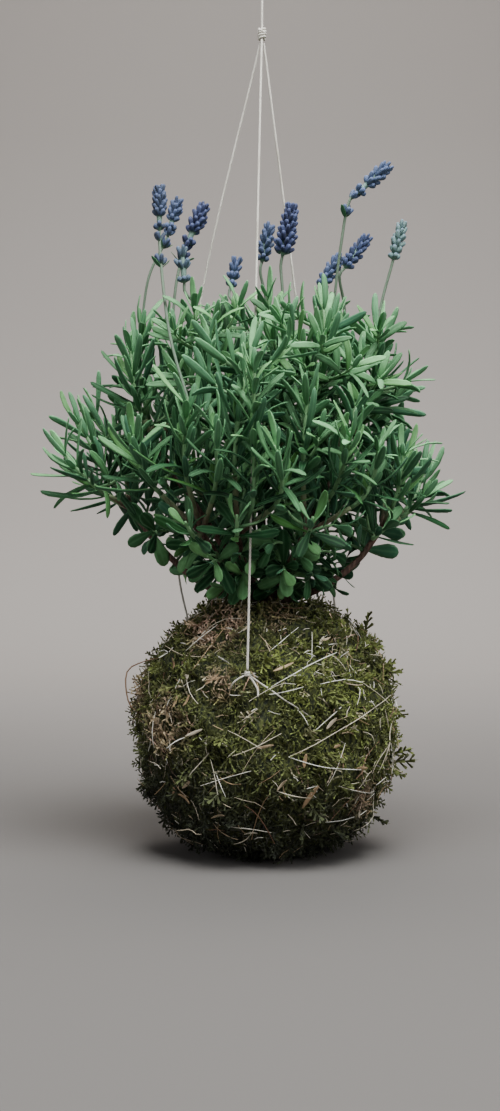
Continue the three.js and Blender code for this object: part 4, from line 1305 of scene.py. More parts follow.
def inner_shoots(room):
    """The side shoots, each with its branch, its stem's curve and its leaves."""
    draw = seeded(5)
    places = wood_places()
    feet = vec([foot for _, foot in places])
    heights, widths = zip(*INNER_WIDTH)
    shoots = []
    for k in range(INNER_SHOOTS):
        for _ in range(INNER_TRIES):
            share = (k + draw()) / INNER_SHOOTS
            height = np.interp(share, (0, LOW_SHARE, 1), (heights[0], LOW_HEIGHT, heights[-1]))
            out = np.interp(height, heights, widths) * (0.2 + 0.8 * sqrt(draw()))
            turn = NEXT_TURN * k + draw() * 0.9
            tip = vec([out * cos(turn) * 1.1, out * sin(turn) * 0.95, height])
            chosen = k < len(LOW_TIPS)
            if chosen:
                tip = vec(LOW_TIPS[k]) + [4 * (draw() - 0.5), 4 * (draw() - 0.5), 4 * draw()]
                height = tip[2]
            low = height < LOW_HEIGHT
            apart = norm(feet - tip, axis=1)
            too_near = apart < INNER_REACH[0] * (0.65 if low else 1)
            below = 1.6 * np.maximum(0, feet[:, 2] - height + 5)
            name, foot = places[np.argmin(apart + below + 1000 * too_near)]
            way = tip - foot
            length = norm(way)
            if length > INNER_REACH[1] or norm(tip - BALL_CENTRE) < MOSS_REACH + 5:
                continue
            rise = vec([way[0] * 0.2, way[1] * 0.2, max(way[2], 0) * 0.2 + length * 0.25])
            curve = arc(foot, foot + way * 0.4 + rise if low else foot + way * UPRIGHT, tip)
            points = curve.spread(INNER_POINTS)
            if not chosen and not clear_stem(room, points, INNER_STEM[0]):
                continue
            room.take_tube(points, np.linspace(*INNER_STEM, INNER_POINTS), f"inner_{k}", True)
            slack = COVER_SLACK if chosen else INNER_SLACK
            leaves = inner_leaves(room, f"inner_{k}", curve, height, draw, INNER_STEM, slack)
            shoots.append((name, curve, leaves, INNER_STEM))
            break
    return shoots


def inner_leaves(room, owner, curve, height, draw, radii, slack):
    size = INNER_LEAVES["low" if height < BROAD_HEIGHT else "high"]
    stands = Stand(any_way(draw, 0, 0.2))
    pairs = max(3, round(curve.length * 0.75 / 5.0))
    light = float(np.clip((height - 150) / 110, 0, 0.75))
    # paler makes leaves paler at random by their shade squared; it is larger low down, as painted light on
    # the leaves that the crown shades.
    paler, lean = (0.8, (72, 26)) if height < LOW_HEIGHT else (0.35, (60, 20))
    leaves = Leaves(room, owner, size.broad, draw)
    for k in range(pairs + 1):
        share = k / pairs
        s = blend_of(0.28, 0.97, share)
        stand = stands.at(curve, s, blend_of(*radii, s))
        for face in (k % 2, k % 2 + 2):
            bend = pick(draw, ANY_BENDS)
            heading = (face + 1) * 90 + (draw() - 0.5) * 40
            leaves.add(stand, heading, blend_of(*lean, share) + (draw() - 0.5) * 18,
                       size.length * (0.75 + 0.4 * draw()) * (1 - 0.3 * share * share),
                       size.width * (0.85 + 0.25 * draw()) * (1 - 0.15 * share), bend,
                       light * (0.2 + 0.8 * share), slack=slack, paler=paler)
    top = {**stand, "centre": stand["centre"] + stand["axis"] * 1.2}
    for k in range(4):
        leaves.add(top, k * GOLDEN_TURN + draw() * 20, 16 + 16 * draw(), size.length * (0.4 + 0.25 * draw()),
                   size.width * 0.66, pick(draw, BENDS[:3]), 0.3 + light, LITTLE_TRIES, slack + 0.1)
    return leaves


def kind_of(leaf):
    """The number of the template that a leaf is a copy of."""
    plain = LEAF_BENDS.index(leaf["bend"]) if leaf["bend"] in LEAF_BENDS else 2
    return plain + len(LEAF_BENDS) * leaf["broad"]


def turn_of(leaf):
    """The turn that takes a template's axes to a leaf's: X to its side, Y along it, Z to its upper side."""
    side = np.cross(leaf["along"], leaf["up"])
    return Matrix(np.column_stack([side, leaf["along"], leaf["up"]]).tolist()).to_euler("XYZ")


GROWTH = {"growth": "BOOLEAN", "turn": "FLOAT_VECTOR", "size": "FLOAT_VECTOR", "kind": "INT",
          "shade": "FLOAT", "young": "FLOAT", "blade": "FLOAT_VECTOR"}


def put_stem(shape, points, radii, young, sides=8, stalk=0.0):
    """A stem. stalk is 1 where it is a flower's bare stalk."""
    stalk = np.repeat(np.broadcast_to(stalk, len(points)), sides)
    young = np.repeat(young, sides)
    blade = np.column_stack([np.full_like(young, 2.0), young, np.ones_like(young)])
    shape.skin(tube_rings(points, radii, sides), shade=stalk, young=young, blade=blade)


def put_leaves(shape, leaves):
    """A loose point with its attributes for each leaf, which the tree turns into the leaf."""
    for leaf in leaves:
        size = vec([leaf["width"], leaf["length"], leaf["length"]]) * MM
        shape.put([leaf["root"] - leaf["along"] * 0.25], growth=1, turn=turn_of(leaf), size=size,
                  kind=kind_of(leaf), shade=leaf["shade"], young=leaf["young"])


def shoot_base(leaves, stem, route):
    """The stem, its stalk if it has one, and its leaves' places."""
    shares = np.linspace(0, 1, STEM_POINTS)
    points, radii = stem.spread(STEM_POINTS), [stem_radius(s) for s in shares]
    young, stalk = [0.2 + 0.6 * s for s in shares], [0.0] * STEM_POINTS
    if route:
        more = np.linspace(0, 1, STALK_POINTS)[1:]
        points += route.spread(STALK_POINTS)[1:]
        radii += [blend_of(STEM_TIP_RADIUS, STALK_RADIUS, min(1, s * 2)) for s in more]
        young += [0.62] * len(more)
        stalk += [1.0] * len(more)
    shape = Shape(**GROWTH)
    put_stem(shape, points, radii, young, stalk=stalk)
    put_leaves(shape, leaves)
    return shape


# Flower spikes
def whorl_buds(foot, axis, share, length, radius, reach, lean, count, turned, draw, slim):
    """One whorl of buds round a spike's axis."""
    side, over = across(axis)
    buds = []
    for k in range(count):
        angle = tau * (k + turned + (draw() - 0.5) * 0.35) / count
        out = at_angle(side, over, angle)
        tilt = lean + (draw() - 0.5) * 0.25
        size = min(BUD_LENGTH, reach / sin(max(tilt, 0.35))) * (0.86 + 0.2 * draw())
        root = foot + axis * (share * length + (draw() - 0.5) * 0.8) + out * radius * 0.6
        width = BUD_WIDTH * slim * (0.88 + 0.24 * draw())
        buds.append({**leaning(root, axis, out, tilt), "length": size, "width": width, "shade": draw()})
    return buds


def spike_buds(index, spike):
    foot, width = spike.foot, spike.width
    axis, length = unit(spike.tip - foot), norm(spike.tip - foot)
    draw = seeded(index * 71 + 5)
    buds = []
    rows = round(spike.whorls * 1.5)
    for k in range(rows):
        rise = k / (rows - 1)
        share = blend_of(0.06, 0.80, rise)
        if spike.parted and k:
            share = blend_of(0.33, 0.80, (k - 1) / (rows - 2))
        radius = width * blend_of(0.17, 0.1, rise)
        slim = 1 - 0.22 * rise * rise
        lean = radians(blend_of(56, 26, rise))
        blunt = (0.82 + 0.2 * sin(pi * rise)) * (1 - 0.1 * rise)
        reach = width / 2 * blunt - radius * 0.6
        count = 5 if width < 12 else 7
        buds += whorl_buds(foot, axis, share, length, radius, reach, lean, count, k * 0.5, draw, slim)
    for k in range(4):
        buds += whorl_buds(foot, axis, 0.84, length, 0.6, 1.2, 0.24, 1, k * 0.25, draw, 0.75)
        buds[-1]["length"] = length * 0.17
    return buds, draw


def lower_buds(spike, draw):
    """The buds of the small whorl lower on the stalk, and the two or three just under the spike."""
    route = curve_through(stalk_line(spike))
    buds = []
    for share, count in ((BRACT_PLACE + 0.02, 5), (0.95, 3)):
        place, axis = route.at(share), route.tangent(share)
        buds += whorl_buds(place, axis, 0, 1, STALK_RADIUS, 2.9, 0.62, count, 0.2, draw, 0.9)
    return buds


def spike_base(spike, buds, draw):
    shares = np.linspace(0, 0.93, 8)
    points = [blend_of(spike.foot, spike.tip, s) for s in shares]
    radii = [blend_of(STALK_RADIUS + 0.2, 0.5, s) + 0.08 * spike.width * sin(pi * min(1, s * 1.1))
             for s in shares]
    shape = Shape(**GROWTH, dark="FLOAT", green="FLOAT")
    shape.skin(tube_rings(points, radii, 8), shade=0.5, dark=spike.dark, green=0.5)
    for bud in buds:
        size = vec([bud["width"], bud["length"], bud["width"]]) * MM
        shape.put([bud["root"]], growth=1, turn=turn_of(bud), size=size, kind=pick(draw, (0, 1, 2)),
                  shade=bud["shade"], dark=spike.dark, green=spike.green)
    return shape


# The moss ball
def moss_relief(turn, height):
    lumps = (sin(3 * turn + height * 0.05) * sin(height * 0.09 + 1)
             + 0.8 * sin(7 * turn - height * 0.11) + 0.7 * sin(11 * turn + height * 0.23 + 2))
    return lumps * MOSS_RELIEF * 0.5


# The bed: its rings and their points, how rough and how lumpy it is, and how deep under the moss's face
BED_RINGS = 46
BED_SIDES = 120
BED_GRAIN = 0.8
BED_LUMPS = 4.0
BED_SINK = 3.2
# How far the sprigs lean, in degrees
SPRIG_LEAN = (48, 88)


def bed_ring(radius, height, edge):
    ring = []
    for turn in turns(BED_SIDES):
        place = Vector((radius * cos(turn), radius * sin(turn), height))
        lumps = BED_LUMPS * noise.noise(place * 0.075 + Vector((3, 8, 5)))
        rough = BED_GRAIN * noise.noise(place * 0.32) + lumps
        out = radius + edge * (moss_relief(turn, height) + rough - BED_SINK)
        up = height + edge * 0.4 * moss_relief(turn + 1, height)
        ring.append((out * cos(turn), out * sin(turn), up))
    return ring


def outer_rings(first):
    """The rings of the bed's outside, from one of them up to the neck."""
    outline = curve_through([(r, 0, z) for r, z in MOSS_OUTLINE], even=True)
    rings = []
    for k in range(first, BED_RINGS + 1):
        x, _, z = outline.point_at(k / BED_RINGS)
        rings.append(bed_ring(x, z, min(1.0, k / 4, (BED_RINGS - k) / 3)))
    return rings


def moss_bed():
    """The bed of matted moss: its lumpy outside, and the hollow that the soil fills."""
    rings = [[(0, 0, 0)], *outer_rings(0)]
    rings.append(bed_ring(NECK_RADIUS + GAP, MOSS_OUTLINE[-1][1] - 2, 0))
    rings += [bed_ring(r + GAP, z, 0) for r, z in reversed(SOIL_OUTLINE)]
    rings.append([(0, 0, SOIL_FOOT - GAP)])
    return Shape().skin(rings)


# Patches of the moss, each with its centre, its radius and how strong it is
FRESH_PATCHES = [
    ((14, -58, 94), 24, 0.8), ((42, -42, 82), 20, 0.7), ((30, -52, 60), 18, 0.35), ((-52, 20, 70), 26, 0.5),
    ((20, 58, 80), 30, 0.6), ((58, 20, 88), 22, 0.6),
]
BROWN_PATCHES = [
    ((-26, -36, 118), 20, 1.0), ((-50, -42, 66), 20, 0.45), ((-23, -58, 88), 12, 0.5),
    ((48, -34, 30), 13, 0.6), ((-30, 50, 96), 20, 0.7), ((52, 30, 40), 22, 0.6), ((-62, -6, 80), 16, 0.5),
    ((6, -34, 118), 11, 0.4),
]


def patch(point, patches):
    return min(1.0, sum(strong * exp(-float(np.sum((point - vec(centre)) ** 2)) / (radius * 0.7) ** 2)
                        for centre, radius, strong in patches))


def moss_weights(point, part):
    """How thickly one kind of moss stands at a point of the ball."""
    brown, fresh = patch(point, BROWN_PATCHES), patch(point, FRESH_PATCHES)
    cloud = max(0.0, noise.noise(Vector(point) * 0.05 + Vector((7, 1, 3))))
    return {"brown": 0.9 * brown + 0.4 * cloud, "fresh": 0.9 * fresh + 0.15,
            "fronds": 1 - 0.6 * brown}.get(part, 1 - 0.45 * brown - 0.2 * fresh)


def outer_bed(part):
    """The outside of the bed alone, with the share of one kind of moss at each point."""
    rings = [*outer_rings(2), bed_ring(NECK_RADIUS + 2, MOSS_OUTLINE[-1][1] - 1, 0)]
    points = np.concatenate(rings)
    weights = [moss_weights(p, part) for p in points]
    return Shape(where="FLOAT").put(points, tube_faces(len(rings), BED_SIDES, False), where=weights)


def lifted_to_floor(piece, floor=0.2):
    """Keeps every point above what the ball rests on."""
    for vertex in piece.data.vertices:
        vertex.co.z = max(vertex.co.z, floor * MM)
    piece.data.update()
    return piece


def on_bed(point, lift=0.0):
    """The bed's surface on the way out from the ball's centre through a point."""
    away = unit(vec(point) - BALL_CENTRE)
    return BALL_CENTRE + away * (reach_of("moss_bed", BALL_CENTRE, away) + lift)


def strewn_on_bed(draw, down, lift=0.0):
    """A drawn direction from the ball's centre, and the bed's surface there."""
    away = any_way(draw, down, 0.9)
    return away, on_bed(BALL_CENTRE + away * 60, lift)


def on_side(point, lowest, margin=0.0):
    """Whether a place is over the ball's shaded foot and outside its neck."""
    return point[2] > lowest and hypot(point[0], point[1]) > NECK_RADIUS + margin


def seen_on_bed(x, z, lift=0.0):
    """The bed's surface behind a place seen from the front, as x and height."""
    hit = surface("moss_bed").ray_cast(Vector((x, -OUTSIDE, z)), Vector((0, 1, 0)))
    return on_bed((x, -10, z) if hit[0] is None else hit[0], lift)


# Fronds that stick out where the ball is seen against the background: place as x and height, angle, length
STRAY_FRONDS = [
    (61, 46, 28, 11), (62, 43, 8, 12), (61, 40, -14, 9), (60, 49, 50, 8), (63, 64, 32, 7), (63, 67, 8, 7),
    (46, 102, 92, 11), (43, 105, 70, 6), (51, 97, 60, 6), (58, 88, 35, 6), (-36, 17, -118, 8),
    (-33, 15, -96, 8), (-39, 20, -135, 7), (-60, 44, 200, 6), (-64, 58, 176, 6), (-62, 84, 160, 7),
    (-55, 95, 140, 6), (47, 22, -38, 10), (50, 26, -22, 7), (37, 14, -60, 6), (28, 10, -70, 5),
    (-20, 10, -110, 5), (-44, 104, 128, 6), (-30, 118, 112, 6), (30, 117, 66, 6), (60, 56, -4, 6),
    (57, 33, -30, 7), (-55, 34, 215, 6), (22, 124, 80, 5),
]
# How much longer they are than the photograph shows them above the moss, and how many more are strewn
STRAY_STRETCH = 1.45
STRAY_COUNT = 200


def put_stray(shape, root, way, length, draw):
    """A thick frond with one shade all over."""
    frond = Shape(tip="FLOAT")
    up = unit(np.cross(way, any_way(draw)))
    put_frond(frond, root, way, up, length, 6, draw, 0.10)
    shape.put(np.concatenate(frond.points), frond.faces, tip=np.concatenate(frond.values["tip"]),
              shade=0.2 + 0.68 * draw())


def stray_fronds(draw):
    """The fronds that stick out where the photograph shows them, and others strewn all over."""
    strays = Shape(tip="FLOAT", shade="FLOAT")
    for x, z, angle, length in STRAY_FRONDS:
        root = on_bed((x, 14 * (draw() - 0.6), z), -0.5)
        way = unit([cos(radians(angle)), 0.5 * (draw() - 0.6), sin(radians(angle))])
        put_stray(strays, root, way, length * STRAY_STRETCH, draw)
    for _ in range(STRAY_COUNT):
        away, root = strewn_on_bed(draw, 0.42, -0.5)
        slant = np.cross(away, any_way(draw))
        if on_side(root, 9, 3):
            put_stray(strays, root, unit(away * (0.3 + 0.7 * draw()) + slant), 8 + 7 * draw(), draw)
    return strays


# Straws that lie on the front of the ball, from end to end, as x, height and x, height, and how thick
FRONT_STRAWS = [
    ((9, 55.5), (56, 79), 0.45), ((9, 55.5), (41, 48.5), 0.4), ((34, 60), (26, 42), 0.35),
    ((21, 67), (33, 77), 0.45), ((1, 82), (15.5, 85.5), 0.4), ((1.5, 85), (31, 99), 0.45),
    ((23, 86.5), (42, 86), 0.4), ((42, 86), (55, 75.5), 0.3), ((21, 95), (30, 89), 0.3),
    ((26.5, 99), (35, 91), 0.3), ((20, 108), (19.5, 97.5), 0.35), ((13, 75.5), (17.5, 69), 0.4),
    ((-36, 99.5), (-22, 111), 0.4), ((-27, 109), (-11, 114), 0.35), ((-35.5, 89), (-30, 77.5), 0.4),
    ((-49.5, 72.5), (-50, 56.5), 0.4), ((-44, 57.5), (-36, 62.5), 0.5), ((-17, 66.5), (-2.5, 59), 0.4),
    ((-15, 56), (6, 65.5), 0.4), ((-29, 42), (-7, 50), 0.35), ((-26, 64), (-26, 56), 0.3),
    ((-24.5, 53.5), (-21, 34), 0.35), ((-22.5, 48.5), (-18, 38), 0.3), ((4, 41), (19, 37), 0.45),
    ((-18.5, 24), (2, 21), 0.4), ((25.5, 25), (39, 25.5), 0.35), ((56.5, 56.5), (57.5, 42), 0.5),
    ((40, 84), (39.5, 76.5), 0.35), ((46, 78), (49, 73), 0.4), ((42, 64.5), (47.5, 58.5), 0.35),
    ((-8, 79), (8, 87), 0.3), ((31, 42), (49, 34), 0.35), ((2, 101), (14, 110), 0.35),
    ((-12, 70), (-4, 76), 0.3),
]
# A wiry runner that loops out at the left
RUNNER_POINTS = 14
RUNNER = [(-57, -16, 68), (-66, -14, 72.5), (-69, -13, 82), (-68, -12, 91), (-60.5, -12, 95), (-53, -14, 97)]
# Husks and chips: middle, as x and height, length, width and slant in degrees
FRONT_CHIPS = [
    ((-31.5, 65), 12, 2.0, 18), ((18.5, 38), 16, 3.0, 60), ((16, 54), 8, 2.4, 82), ((7, 93.5), 13, 1.7, 30),
    ((-35, 42), 8, 2.0, 40), ((-24, 88), 9, 1.4, 35), ((-1, 60), 10, 1.6, 12), ((24, 104), 8, 1.6, 60),
    ((41, 27), 7, 1.8, 120), ((-40, 78), 7, 1.6, 70),
]
# A husk's width, as a share of the whole, along it
CHIP_WIDTHS = ((-0.5, 0.25), (-0.3, 0.8), (0.0, 1.0), (0.3, 0.75), (0.47, 0.25))
STRAW_COUNT = 150
# The points along a strewn straw, from its middle
STRAW_PLACES = np.arange(6) / 5 - 0.5
FIBRE_COUNT = 560
# How high the front straws and husks lie over the bed, on the sprigs
STRAW_LIFT = 4.2
CHIP_LIFT = 4.0
CHIP_COUNT = 26


def straw_lines(draw):
    """Every straw as a list of points, a thickness and a shade."""
    lines = [(curve_through(RUNNER).spread(RUNNER_POINTS), 0.4, 0.9)]
    for (x1, z1), (x2, z2), thick in FRONT_STRAWS:
        bow = (draw() - 0.5) * 3
        steps = max(4, int(hypot(x2 - x1, z2 - z1) / 4))
        points = []
        for s in np.arange(steps + 1) / steps:
            hump = sin(pi * s)
            x, z = blend_of(x1, x2, s) + bow * hump * 0.5, blend_of(z1, z2, s) + bow * hump
            points.append(seen_on_bed(x, z, STRAW_LIFT + hump))
        lines.append((points, thick * 0.5, draw() * 0.4))
    for _ in range(STRAW_COUNT):
        away, centre = strewn_on_bed(draw, 0.45)
        axis = unit(np.cross(away, any_way(draw)))
        length = 7 + 22 * draw() ** 2
        bow = np.cross(away, axis) * (draw() - 0.5) * length * 0.3
        stray = draw()
        lift = 3.4 + (3.5 if stray > 0.9 else 1.2 * draw())
        points = []
        for s in STRAW_PLACES:
            flat = centre + axis * length * s + bow * (1 - 4 * s * s) * 0.5
            points.append(on_bed(flat, lift + (length * 0.16 * abs(s) * 2 if stray > 0.93 else 0)))
        if on_side(points[0], 4) and all(p[2] > 4 for p in points):
            palest = 0.3 if away[1] < -0.35 else 0.2
            lines.append((points, 0.11 + 0.14 * draw(), blend_of(palest, 1, draw())))
    for _ in range(FIBRE_COUNT):
        away = any_way(draw, 0.42, 0.9)
        centre = on_bed(BALL_CENTRE + away * 60, 2.6 + 2.2 * draw())
        way = unit(np.cross(away, any_way(draw)) + away * (draw() - 0.5) * 0.6)
        length = 2.5 + 4.5 * draw()
        if on_side(centre, 6):
            bow = np.cross(away, way) * (draw() - 0.5) * length * 0.3
            points = [centre - way * length / 2, centre + bow, centre + way * length / 2]
            lines.append((points, 0.10 + 0.12 * draw(), 0.65 * draw()))
    return lines


def line_shape(lines):
    """Lines of edges for the tree that makes stalks of them."""
    shape = Shape(thick="FLOAT", shade="FLOAT")
    for points, thick, shade in lines:
        count = len(points)
        shape.edges += [(shape.count + k, shape.count + k + 1) for k in range(count - 1)]
        taper = [thick * (0.55 + 0.45 * sin(pi * (k + 0.5) / count)) for k in range(count)]
        shape.put(points, thick=taper, shade=shade)
    return shape


def chip(shape, centre, axis, away, length, width, curl, shade):
    """A dry husk: a thin boat-shaped scale that lies on the moss."""
    side = np.cross(away, axis)
    rings = []
    for s, wide in CHIP_WIDTHS:
        middle = centre + axis * length * s + away * curl * (4 * s * s)
        half, edge = side * width / 2 * wide, 0.3 * wide
        rings.append([middle - half + away * edge, middle - away * 0.12, middle + half + away * edge,
                      middle + half + away * (edge + 0.22), middle + away * 0.12,
                      middle - half + away * (edge + 0.22)])
    shape.skin(rings, shade=shade)


def chips_shape(draw):
    shape = Shape(shade="FLOAT")
    for (x, z), length, width, slant in FRONT_CHIPS:
        centre = seen_on_bed(x, z, CHIP_LIFT)
        away = unit(centre - BALL_CENTRE)
        way = at_angle(X, Z, radians(slant))
        way = unit(way - way.dot(away) * away)
        chip(shape, centre, way, away, length * 0.85, width * 0.8, 0.8, 0.4 + 0.45 * draw())
    for _ in range(CHIP_COUNT):
        away, centre = strewn_on_bed(draw, 0.4, 3.4)
        axis = unit(np.cross(away, any_way(draw)))
        if on_side(centre, 6, 4):
            chip(shape, centre, axis, away, 3 + 5 * draw(), 0.8 + 1.0 * draw(), 0.5 + draw(),
                 0.4 + 0.6 * draw())
    return shape


# Thread and knots
def thread_loop(points):
    """A loop round the ball through the front tie and two more points, in their plane, in the moss."""
    tie, second, third = (vec(p) for p in points)
    normal = unit(np.cross(second - tie, third - tie))
    centre = BALL_CENTRE + normal * (tie - BALL_CENTRE).dot(normal)
    side = unit(tie - centre)
    over = np.cross(normal, side)
    route = []
    for turn in turns(LOOP_STEPS):
        way = at_angle(side, over, turn)
        point = centre + way * reach_of("moss_wrap", centre, unit(way))
        from_tie = point - tie
        shown = (THREAD_SHOWN if from_tie[0] > 0 else THREAD_SHOWN / 3) if from_tie[2] < -1 else 5
        cover = min(1.0, norm(from_tie) / shown) ** 2
        lift = blend_of(THREAD_LIFT, THREAD_LOW, cover) + THREAD_WAVE * noise.noise(point * 0.12)
        route.append(on_bed(point, lift))
    return route


# The tie's loose tail, as x and height
THREAD_TAIL = [(-6.5, 88), (-4.2, 84), (-4.0, 81)]
# A cord: points round it, plies, how deep the hollows between them are as a share of its radius, the way
# along it that a ply takes for one turn, and the step from ring to ring
CORD_SIDES = 9
CORD_PLIES = 3
CORD_DEPTH = 0.24
CORD_PITCH = 5.0
CORD_STEP = 0.7
# A knot's turns: points for each turn, and the step along them
WRAP_STEPS = 16
WRAP_STEP = 0.5


def cord_shape(shape, points, radius, step=CORD_STEP, pitch=CORD_PITCH, closed=False):
    """A twisted cord along evenly spaced points: a bump round it for each ply, which winds as it goes."""
    def reach(i, angles):
        wound = angles - tau * i * step / pitch
        return 1 - CORD_DEPTH * (1 - np.abs(np.cos(wound * CORD_PLIES / 2)))

    rings = tube_rings(points, radius, CORD_SIDES, reach, closed)
    angles = turns(CORD_SIDES)
    crest = np.concatenate([(reach(i, angles) - 1 + CORD_DEPTH) / CORD_DEPTH for i in range(len(points))])
    if closed:
        return shape.put(np.concatenate(rings), tube_faces(len(rings), CORD_SIDES, True), crest=crest)
    return shape.skin(rings, crest=crest)


def even_points(curve, step=CORD_STEP):
    count = max(2, round(curve.length / step))
    return [curve.at(i / count) for i in range(count + 1)]


def wrap(shape, centre, radius, half_height, rounds, thick, seed, axis=(0, 0, 1)):
    """Turns of cord round a bundle, as in a tight knot."""
    axis = unit(axis)
    side, over = across(axis)
    tilt = (seeded(seed)() - 0.5) * 0.5
    steps = int(rounds * WRAP_STEPS)
    route = []
    for k in range(steps + 1):
        angle = tau * rounds * k / steps
        height = blend_of(-half_height, half_height, k / steps) + tilt * radius * cos(angle)
        bulge = radius * (0.82 + 0.18 * sin(pi * k / steps))
        route.append(centre + bulge * at_angle(side, over, angle) + height * axis)
    cord_shape(shape, even_points(curve_through(route), WRAP_STEP), thick, WRAP_STEP)


def limb(shape, points, radii, young, sides=10):
    """A length of bark, knotty all round."""
    def knotty(i, angles):
        return vec([1 + 0.16 * noise.noise(Vector((cos(a) * 2, sin(a) * 2, i * 0.33))) for a in angles])

    shape.skin(tube_rings(points, radii, sides, knotty), young=np.repeat(young, sides))


# Settings that a user would change
def colour(name, of_what, default):
    about = f"Colour of {of_what}"
    return FloatVectorProperty(name=name, description=about, default=default, subtype="COLOR")


class KokedamaMossSettings(bpy.types.PropertyGroup):
    sprig_length: FloatProperty(
        name="Sprig length", description="Length of a moss sprig", default=0.0078, unit="LENGTH")
    sprigs: IntProperty(
        name="Sprigs", description="Sprigs for each square metre of moss", default=150000)
    seed: IntProperty(name="Seed", description="Seed of everything strewn on the ball", default=4)
    fresh_colour: colour("Fresh moss", "the fresh tips", (0.27, 0.335, 0.075))
    dull_colour: colour("Dull moss", "the older moss", (0.077, 0.086, 0.028))
    brown_colour: colour("Dead moss", "the dead moss", (0.70, 0.47, 0.35))
    # Painted shade: the near-black of the moss underneath and of the bed in the gaps between sprigs.
    painted_shade_colour: colour("Painted shade", "the moss underneath, where it is damp", (0.018, 0.021, 0.015))
    straw_colour: colour("Straw", "the dry straws", (0.50, 0.44, 0.33))


class KokedamaPlantSettings(bpy.types.PropertyGroup):
    leaf_dark: colour("Old leaf", "the oldest leaves", (0.001, 0.013, 0.004))
    leaf_mid: colour("Leaf", "most leaves", (0.0045, 0.061, 0.0125))
    leaf_young: colour("Young leaf", "the leaves at the tips", (0.19, 0.43, 0.19))
    stem_colour: colour("Stem", "the young stems", (0.18, 0.34, 0.16))
    stalk_colour: colour("Stalk", "the flower stalks", (0.11, 0.155, 0.105))
    # Painted light: the yellow-green of leaves that look lit through from behind.
    leaf_painted_backlight: colour("Painted backlight", "the yellower leaves", (0.075, 0.19, 0.022))
    leaf_under: colour("Underside", "a leaf's underside", (0.05, 0.150, 0.085))
    bark_colour: colour("Bark", "the woody branches", (0.045, 0.020, 0.014))
    flower_dark: colour("Dark bud", "the darkest buds", (0.006, 0.009, 0.040))
    flower_light: colour("Light bud", "the lightest buds", (0.066, 0.094, 0.225))
    flower_green: colour("Green bud", "unripe buds", (0.17, 0.28, 0.20))


class KokedamaStringSettings(bpy.types.PropertyGroup):
    string_colour: colour("String", "the strings", (0.66, 0.62, 0.54))
    soiled_colour: colour("Soiled string", "the string where it is soiled", (0.33, 0.29, 0.22))


class KokedamaStageSettings(bpy.types.PropertyGroup):
    floor_colour: colour("Floor", "the floor and backdrop", (0.50, 0.46, 0.43))
    light: FloatProperty(
        name="Light", description="Strength of the main light", default=30.0, unit="POWER")
    surroundings: FloatProperty(
        name="Surroundings", description="Strength of the light from all round", default=0.11)


# Operators
class KOKEDAMA_OT_soil(bpy.types.Operator):
    """Give the soil its finish and strew crumbs on it at the neck"""

    bl_idname = "kokedama.soil"
    bl_label = "Soil"

    def execute(self, context):
        look = soil_look()
        node = frame["nodes"]["soil_ball"]
        node.data.materials.clear()
        node.data.materials.append(look)
        draw = seeded(context.scene.kokedama_moss.seed + 90)
        shape = Shape()
        for _ in range(CRUMB_COUNT):
            turn, out = tau * draw(), blend_of(TRUNK_RADIUS + 1.2, NECK_RADIUS - 1.6, draw() ** 0.6)
            size = 0.6 + 1.3 * draw() ** 2
            centre = vec([out * cos(turn), out * sin(turn), SOIL_TOP + size * 0.25])
            ring = [(size * (0.7 + 0.5 * draw()) * cos(a), size * (0.7 + 0.5 * draw()) * sin(a))
                    for a in turns(6)]
            lower = [centre + (x * 0.8, y * 0.8, -size * 0.4) for x, y in ring]
            upper = [centre + (x, y, size * 0.3 * draw()) for x, y in ring]
            shape.skin([lower, upper, [centre + (0, 0, size * 0.6)]])
        finished(shape.piece("soil_crumbs"), "soil", material=look)
        return {"FINISHED"}


class KOKEDAMA_OT_moss(bpy.types.Operator):
    """Make the bed of moss and the sprigs that cover it"""

    bl_idname = "kokedama.moss"
    bl_label = "Moss"

    def execute(self, context):
        look = context.scene.kokedama_moss
        finished(moss_bed().piece("moss_bed"), "moss", "moss_wrap", material=moss_body_look(look))
        tree = sprig_tree()
        fresh, dull, brown = look.fresh_colour, look.dull_colour, look.brown_colour
        olive = [blend_of(a, b, 0.55) for a, b in zip(fresh, dull)]
        # Each kind's templates, light and dark colours, and shares of the sprigs and of their length
        kinds = {
            "creeping": ((3, 5, -0.35, 0.068), olive, dull, 0.42, 1.15),
            "curled": ((9, 5, 0.4, 0.08), olive, dull, 0.38, 0.85),
            "fronds": ((21, 4), olive, dull, 0.185, 1.15),
            "fresh": ((33, 4, 0.25, 0.1), fresh, olive, 0.35, 0.75),
            "brown": ((41, 4, -0.25, 0.055), brown, dull, 0.75, 1.15),
        }
        for number, (part, (sprigs, light, dark, density, length)) in enumerate(kinds.items()):
            picked = templates(f"sprigs_{part}", sprig_templates(*sprigs))
            piece = outer_bed(part).piece(f"moss_{part}")
            tree.grow(piece, Templates=picked, Material=moss_look(f"moss_{part}", light, dark, look),
                      Density=look.sprigs * density, Length=look.sprig_length * length,
                      Least_lean=radians(SPRIG_LEAN[0]), Most_lean=radians(SPRIG_LEAN[1]),
                      Seed=look.seed + 7 * number)
            drop_templates(picked)
            finished(lifted_to_floor(piece), "moss")
        strays = stray_fronds(seeded(look.seed + 60)).piece("moss_strays", smooth=False)
        finished(lifted_to_floor(strays), "moss", material=moss_look("moss_strays", olive, dull, look))
        return {"FINISHED"}


class KOKEDAMA_OT_litter(bpy.types.Operator):
    """Lay straws and husks on the moss"""

    bl_idname = "kokedama.litter"
    bl_label = "Straws and husks"

    def execute(self, context):
        look = context.scene.kokedama_moss
        draw = seeded(look.seed + 400)
        dry = straw_look(look)
        straws = line_shape(straw_lines(draw)).piece("straws")
        finished(path_tree().grow(straws, Material=dry, Radius=MM, Sides=5), "moss")
        finished(chips_shape(draw).piece("husks"), "moss", material=dry)
        return {"FINISHED"}


